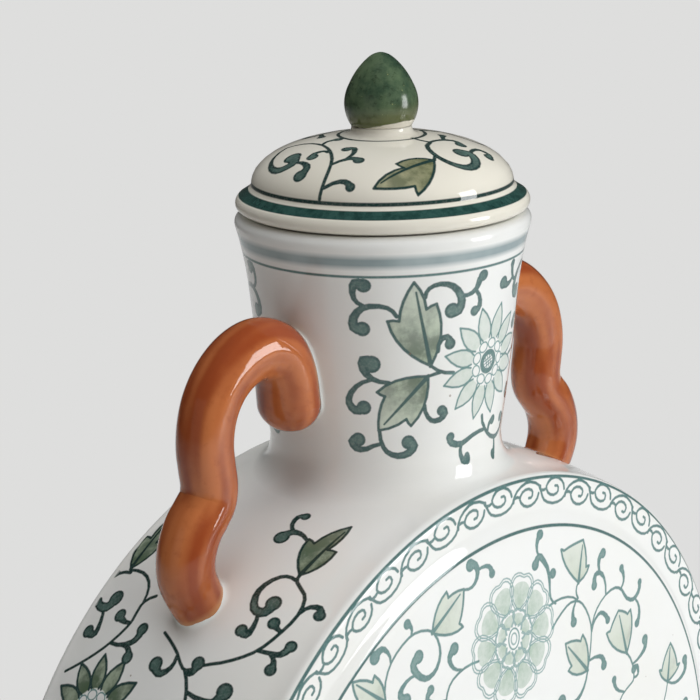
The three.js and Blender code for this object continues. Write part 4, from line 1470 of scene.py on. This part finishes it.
def glaze_seam(rod, wrap, centre, width, height, steps=72):
    """Loops of the glaze that pools in the corner where the rod meets the pot, from the pot up the rod."""
    turn = round_steps(steps)
    way = np.stack([np.cos(turn), np.sin(turn)], 1)
    inner, outer = np.zeros(steps), np.full(steps, SEAM_SEARCH)
    for _ in range(SEAM_HALVINGS):
        middle = (inner + outer) / 2
        level, _ = rod.level(wrap(centre + way * middle[:, None]))
        inner, outer = np.where(level < 1, middle, inner), np.where(level < 1, outer, middle)
    spot = centre + way * inner[:, None]
    corner = wrap(spot)
    nudge = 0.1
    pot = unit(np.cross(wrap(spot + [nudge, 0]) - corner, wrap(spot + [0, nudge]) - corner))
    inside_pot = [0, 0, corner[:, 2].min() - 99]
    pot *= np.sign((pot * (corner - inside_pot)).sum(1))[:, None]
    _, skin = rod.level(corner)
    dot = (pot * skin).sum(1)[:, None]
    uneven = (1 + 0.18 * np.sin(2 * turn + 0.7) + 0.12 * np.sin(3 * turn + 2.1))[:, None]
    low = corner + width * uneven * unit(skin - dot * pot) - SEAM_SINK * pot
    high = corner + height * uneven * unit(pot - dot * skin) - SEAM_SINK * skin
    rows = [(1 - t) ** 2 * low + 2 * t * (1 - t) * corner + t**2 * high for t in np.linspace(0, 1, 8)]
    buried = corner - SEAM_ROOT * (pot + skin)
    loops = np.array([*rows, high, buried, low])
    facing = np.cross(loops[3, 1] - loops[3, 0], loops[4, 0] - loops[3, 0]) @ (pot[0] + skin[0])
    return loops if facing > 0 else loops[:, ::-1]


def brushed(loops):
    """Paint of a rod: streaks along it, and the thin glaze close to the neck and the body."""
    rows, columns = loops.shape[:2]
    along = np.linspace(0, 1, rows)[:, None]
    turn = round_steps(columns)
    x, y, z = loops[..., 0], loops[..., 1], loops[..., 2]
    to_neck = np.hypot(x, y) - neck_radius(z)
    to_body = np.hypot(x, z - BODY_Z) - rim_radius(y)
    paint = np.zeros((rows, columns, CHANNELS))
    paint[..., 0] = 0.5
    for count, drift, start, size in ROD_STREAKS:
        paint[..., 0] += 0.5 * size * np.sin(count * turn + drift * along + start)
    paint[..., 1] = np.clip(1.6 - np.minimum(to_neck, to_body) / 1.8, 0, 1)
    return paint.reshape(-1, CHANNELS)


def handle_piece(rust, glaze, name, side, node, droop=0.0):
    """A crook handle: a rod swept along its line, with white glaze pooled round both its ends."""
    rod = Rod(droop)
    loops = rod.loops()
    shell = Shell()
    shell.loft(loops * [side, 1, 1], (0.02, 0.02, 0.98, 0.78), flip=side < 0, paint=brushed(loops))
    band = on_band()
    foot = glaze_seam(rod, lambda s: band(s) * [-1, 1, 1], (FOOT_TURN * RIM_MEAN, 0), 1.6, 1.2)
    pad = glaze_seam(rod, on_neck, (math.pi / 2 * NECK_MEAN, PAD_Z), 1.4, 1.2)
    shell.loft(foot * [side, 1, 1], (0.02, 0.8, 0.98, 0.88), slot=1, flip=side < 0)
    shell.loft(pad * [side, 1, 1], (0.02, 0.9, 0.98, 0.98), slot=1, flip=side < 0)
    return shell.build(name, [rust, glaze], "vase", "rust_glaze", node)


def foot_piece(glaze):
    """The splayed oval foot ring."""
    way = np.stack(around(1.0, round_steps(FOOT_STEPS)), 1)
    oval = np.sign(way) * np.abs(way) ** (2 / FOOT_FULL)
    edge_in, edge_z = 0.4, 1.2  # where the rounded lower edge ends

    def loop(inset, height):
        plan = (FOOT_HALF - inset) * oval
        return np.column_stack([plan, np.full(FOOT_STEPS, height)])

    def under_body(inset, sunk):
        made = loop(inset, 0)
        made[:, 2] = 2 * BODY_Z - shoulder_height(made[:, 0], made[:, 1]) + sunk
        return made

    loops = [loop(7, 0.6), loop(5.6, 0), loop(1.6, 0), loop(edge_in, edge_z)]
    for share in np.linspace(0, 1, 9)[1:]:
        made = under_body(edge_in + 5.1 * (1 - (1 - share) ** 2), 0.3)
        made[:, 2] = edge_z + (made[:, 2] - edge_z) * share
        loops.append(made)
    loops += [under_body(9.0, 0.4), loop(7, 0.6)]
    shell = Shell()
    shell.loft(loops, (0.02, 0.02, 0.98, 0.98))
    return shell.build("foot", [glaze], "vase", "white_glaze", "foot_ring")


def make_camera():
    """The photograph's viewing angle."""
    azimuth, elevation, roll = -47.83 * DEG, 14.93 * DEG, -0.99 * DEG
    distance, focal_pixels, frame_pixels = 596.94, 2157.07, 700
    back = Vector((*around(math.cos(elevation), azimuth), math.sin(elevation)))
    level = Vector((math.cos(azimuth), math.sin(azimuth), 0))
    upright = back.cross(level)
    right = math.cos(roll) * level + math.sin(roll) * upright
    up = -math.sin(roll) * level + math.cos(roll) * upright
    target = Vector((0, 0, 277.35)) - 9.55 * right
    data = bpy.data.cameras.new("camera")
    data.sensor_width = 36
    data.lens = focal_pixels * data.sensor_width / frame_pixels
    data.clip_start, data.clip_end = 0.01, 50
    camera = bpy.data.objects.new("camera", data)
    turn = Matrix((right, up, back)).transposed().to_4x4()
    camera.matrix_world = Matrix.Translation((target + distance * back) * MM) @ turn
    bpy.context.scene.collection.objects.link(camera)
    bpy.context.scene.camera = camera


def softbox(name, place, aim, width, height, power, colour, mirrored=True):
    """A rectangular studio lamp, in metres, which may or may not be seen in the gloss."""
    data = bpy.data.lights.new(name, "AREA")
    data.shape = "RECTANGLE"
    data.size, data.size_y = width, height
    data.energy = power
    data.color = colour
    lamp = bpy.data.objects.new(name, data)
    lamp.location = place
    lamp.rotation_mode = "QUATERNION"
    lamp.rotation_quaternion = (Vector(place) - Vector(aim)).to_track_quat("Z", "Y")
    lamp.visible_camera = False
    lamp.visible_glossy = mirrored
    bpy.context.scene.collection.objects.link(lamp)


def make_world():
    """Dim even light, seen by the camera as a pale backdrop."""
    world = bpy.data.worlds.new("studio")
    bpy.context.scene.world = world
    world.use_nodes = True
    nodes, links = world.node_tree.nodes, world.node_tree.links
    nodes.clear()
    light, backdrop = nodes.new("ShaderNodeBackground"), nodes.new("ShaderNodeBackground")
    light.inputs["Color"].default_value = (1.0, 0.94, 0.86, 1)
    light.inputs["Strength"].default_value = 0.03
    backdrop.inputs["Color"].default_value = PAPER
    path = nodes.new("ShaderNodeLightPath")
    mix = nodes.new("ShaderNodeMixShader")
    out = nodes.new("ShaderNodeOutputWorld")
    links.new(path.outputs["Is Camera Ray"], mix.inputs[0])
    links.new(light.outputs[0], mix.inputs[1])
    links.new(backdrop.outputs[0], mix.inputs[2])
    links.new(mix.outputs[0], out.inputs["Surface"])


def make_floor():
    """A pale floor that keeps the shadow near the object and fades into the backdrop."""
    mesh = bpy.data.meshes.new("floor")
    reach = 8.0
    corners = [(x * reach, y * reach, 0) for x, y in ((-1, -1), (1, -1), (1, 1), (-1, 1))]
    mesh.from_pydata(corners, [], [(0, 1, 2, 3)])
    made = Recipe("floor")
    grain = made.mix(made.between(made.noise(9.0), 0.3, 0.7), PAPER, rgb(226, 226, 224))
    made.feed(made.shader.inputs["Base Color"], grain)
    made.shader.inputs["Roughness"].default_value = 0.8
    away = made.node("ShaderNodeVectorMath", operation="LENGTH")
    made.feed(away.inputs[0], made.place)
    far = made.between(away.outputs["Value"], 0.18, 0.4)
    path = made.node("ShaderNodeLightPath").outputs["Is Camera Ray"]
    glow = made.node("ShaderNodeEmission")
    glow.inputs["Color"].default_value = PAPER
    blend = made.node("ShaderNodeMixShader")
    made.feed(blend.inputs[0], made.sums("MULTIPLY", far, path))
    made.feed(blend.inputs[1], made.shader.outputs[0])
    made.feed(blend.inputs[2], glow.outputs[0])
    made.feed(made.tree.nodes["Material Output"].inputs["Surface"], blend.outputs[0])
    mesh.materials.append(made.material)
    floor = bpy.data.objects.new("floor", mesh)
    bpy.context.scene.collection.objects.link(floor)


def make_lights():
    """Four diffused lamps for the shape, and a window and a card that show in the gloss."""
    aim = (0, 0, 0.26)
    cool, warm = (0.98, 0.99, 1.0), (1.0, 0.9, 0.78)
    softbox("wide", (-0.1, -1.25, 0.88), aim, 1.0, 0.9, 7.5, cool, False)
    softbox("fill", (-0.95, -0.85, 0.75), aim, 1.2, 0.8, 0.5, warm, False)
    softbox("top", (-0.05, -0.1, 1.65), aim, 1.2, 1.2, 12.0, cool, False)
    softbox("rim", (0.8, 0.95, 0.95), aim, 1.2, 1.0, 9.0, cool, False)
    softbox("window", (0.55, -0.95, 0.40), aim, 0.36, 0.56, 5.2, cool)
    softbox("left_card", (-1.0, -0.1, 0.42), aim, 0.7, 0.8, 0.4, warm)


PAINTED = painted_glaze(
    "painted_glaze", rgb(241, 242, 240), rgb(34, 58, 55), rgb(84, 105, 80), rgb(164, 184, 150)
)
LID_GLAZE = painted_glaze(
    "lid_glaze", rgb(234, 230, 218), rgb(36, 62, 60), rgb(84, 94, 52), rgb(140, 140, 84)
)
RUST = rust_glaze()
GREEN = green_glaze()

make_camera()
BODY_SHEETS = body_sheets()
body_piece(PAINTED, BODY_SHEETS, "glazed_front", "body_front_half", False)
body_piece(PAINTED, BODY_SHEETS, "glazed_back", "body_back_half", True)
neck_piece(PAINTED)
foot_piece(PAINTED)
handle_piece(RUST, PAINTED, "left_crook", -1, "left_handle")
handle_piece(RUST, PAINTED, "right_crook", 1, "right_handle", RIGHT_DROOP)
lid_piece(LID_GLAZE)
ring_piece(LID_GLAZE)
bud_piece(GREEN)
make_floor()
make_world()
make_lights()
bpy.context.scene.view_settings.view_transform = "Standard"
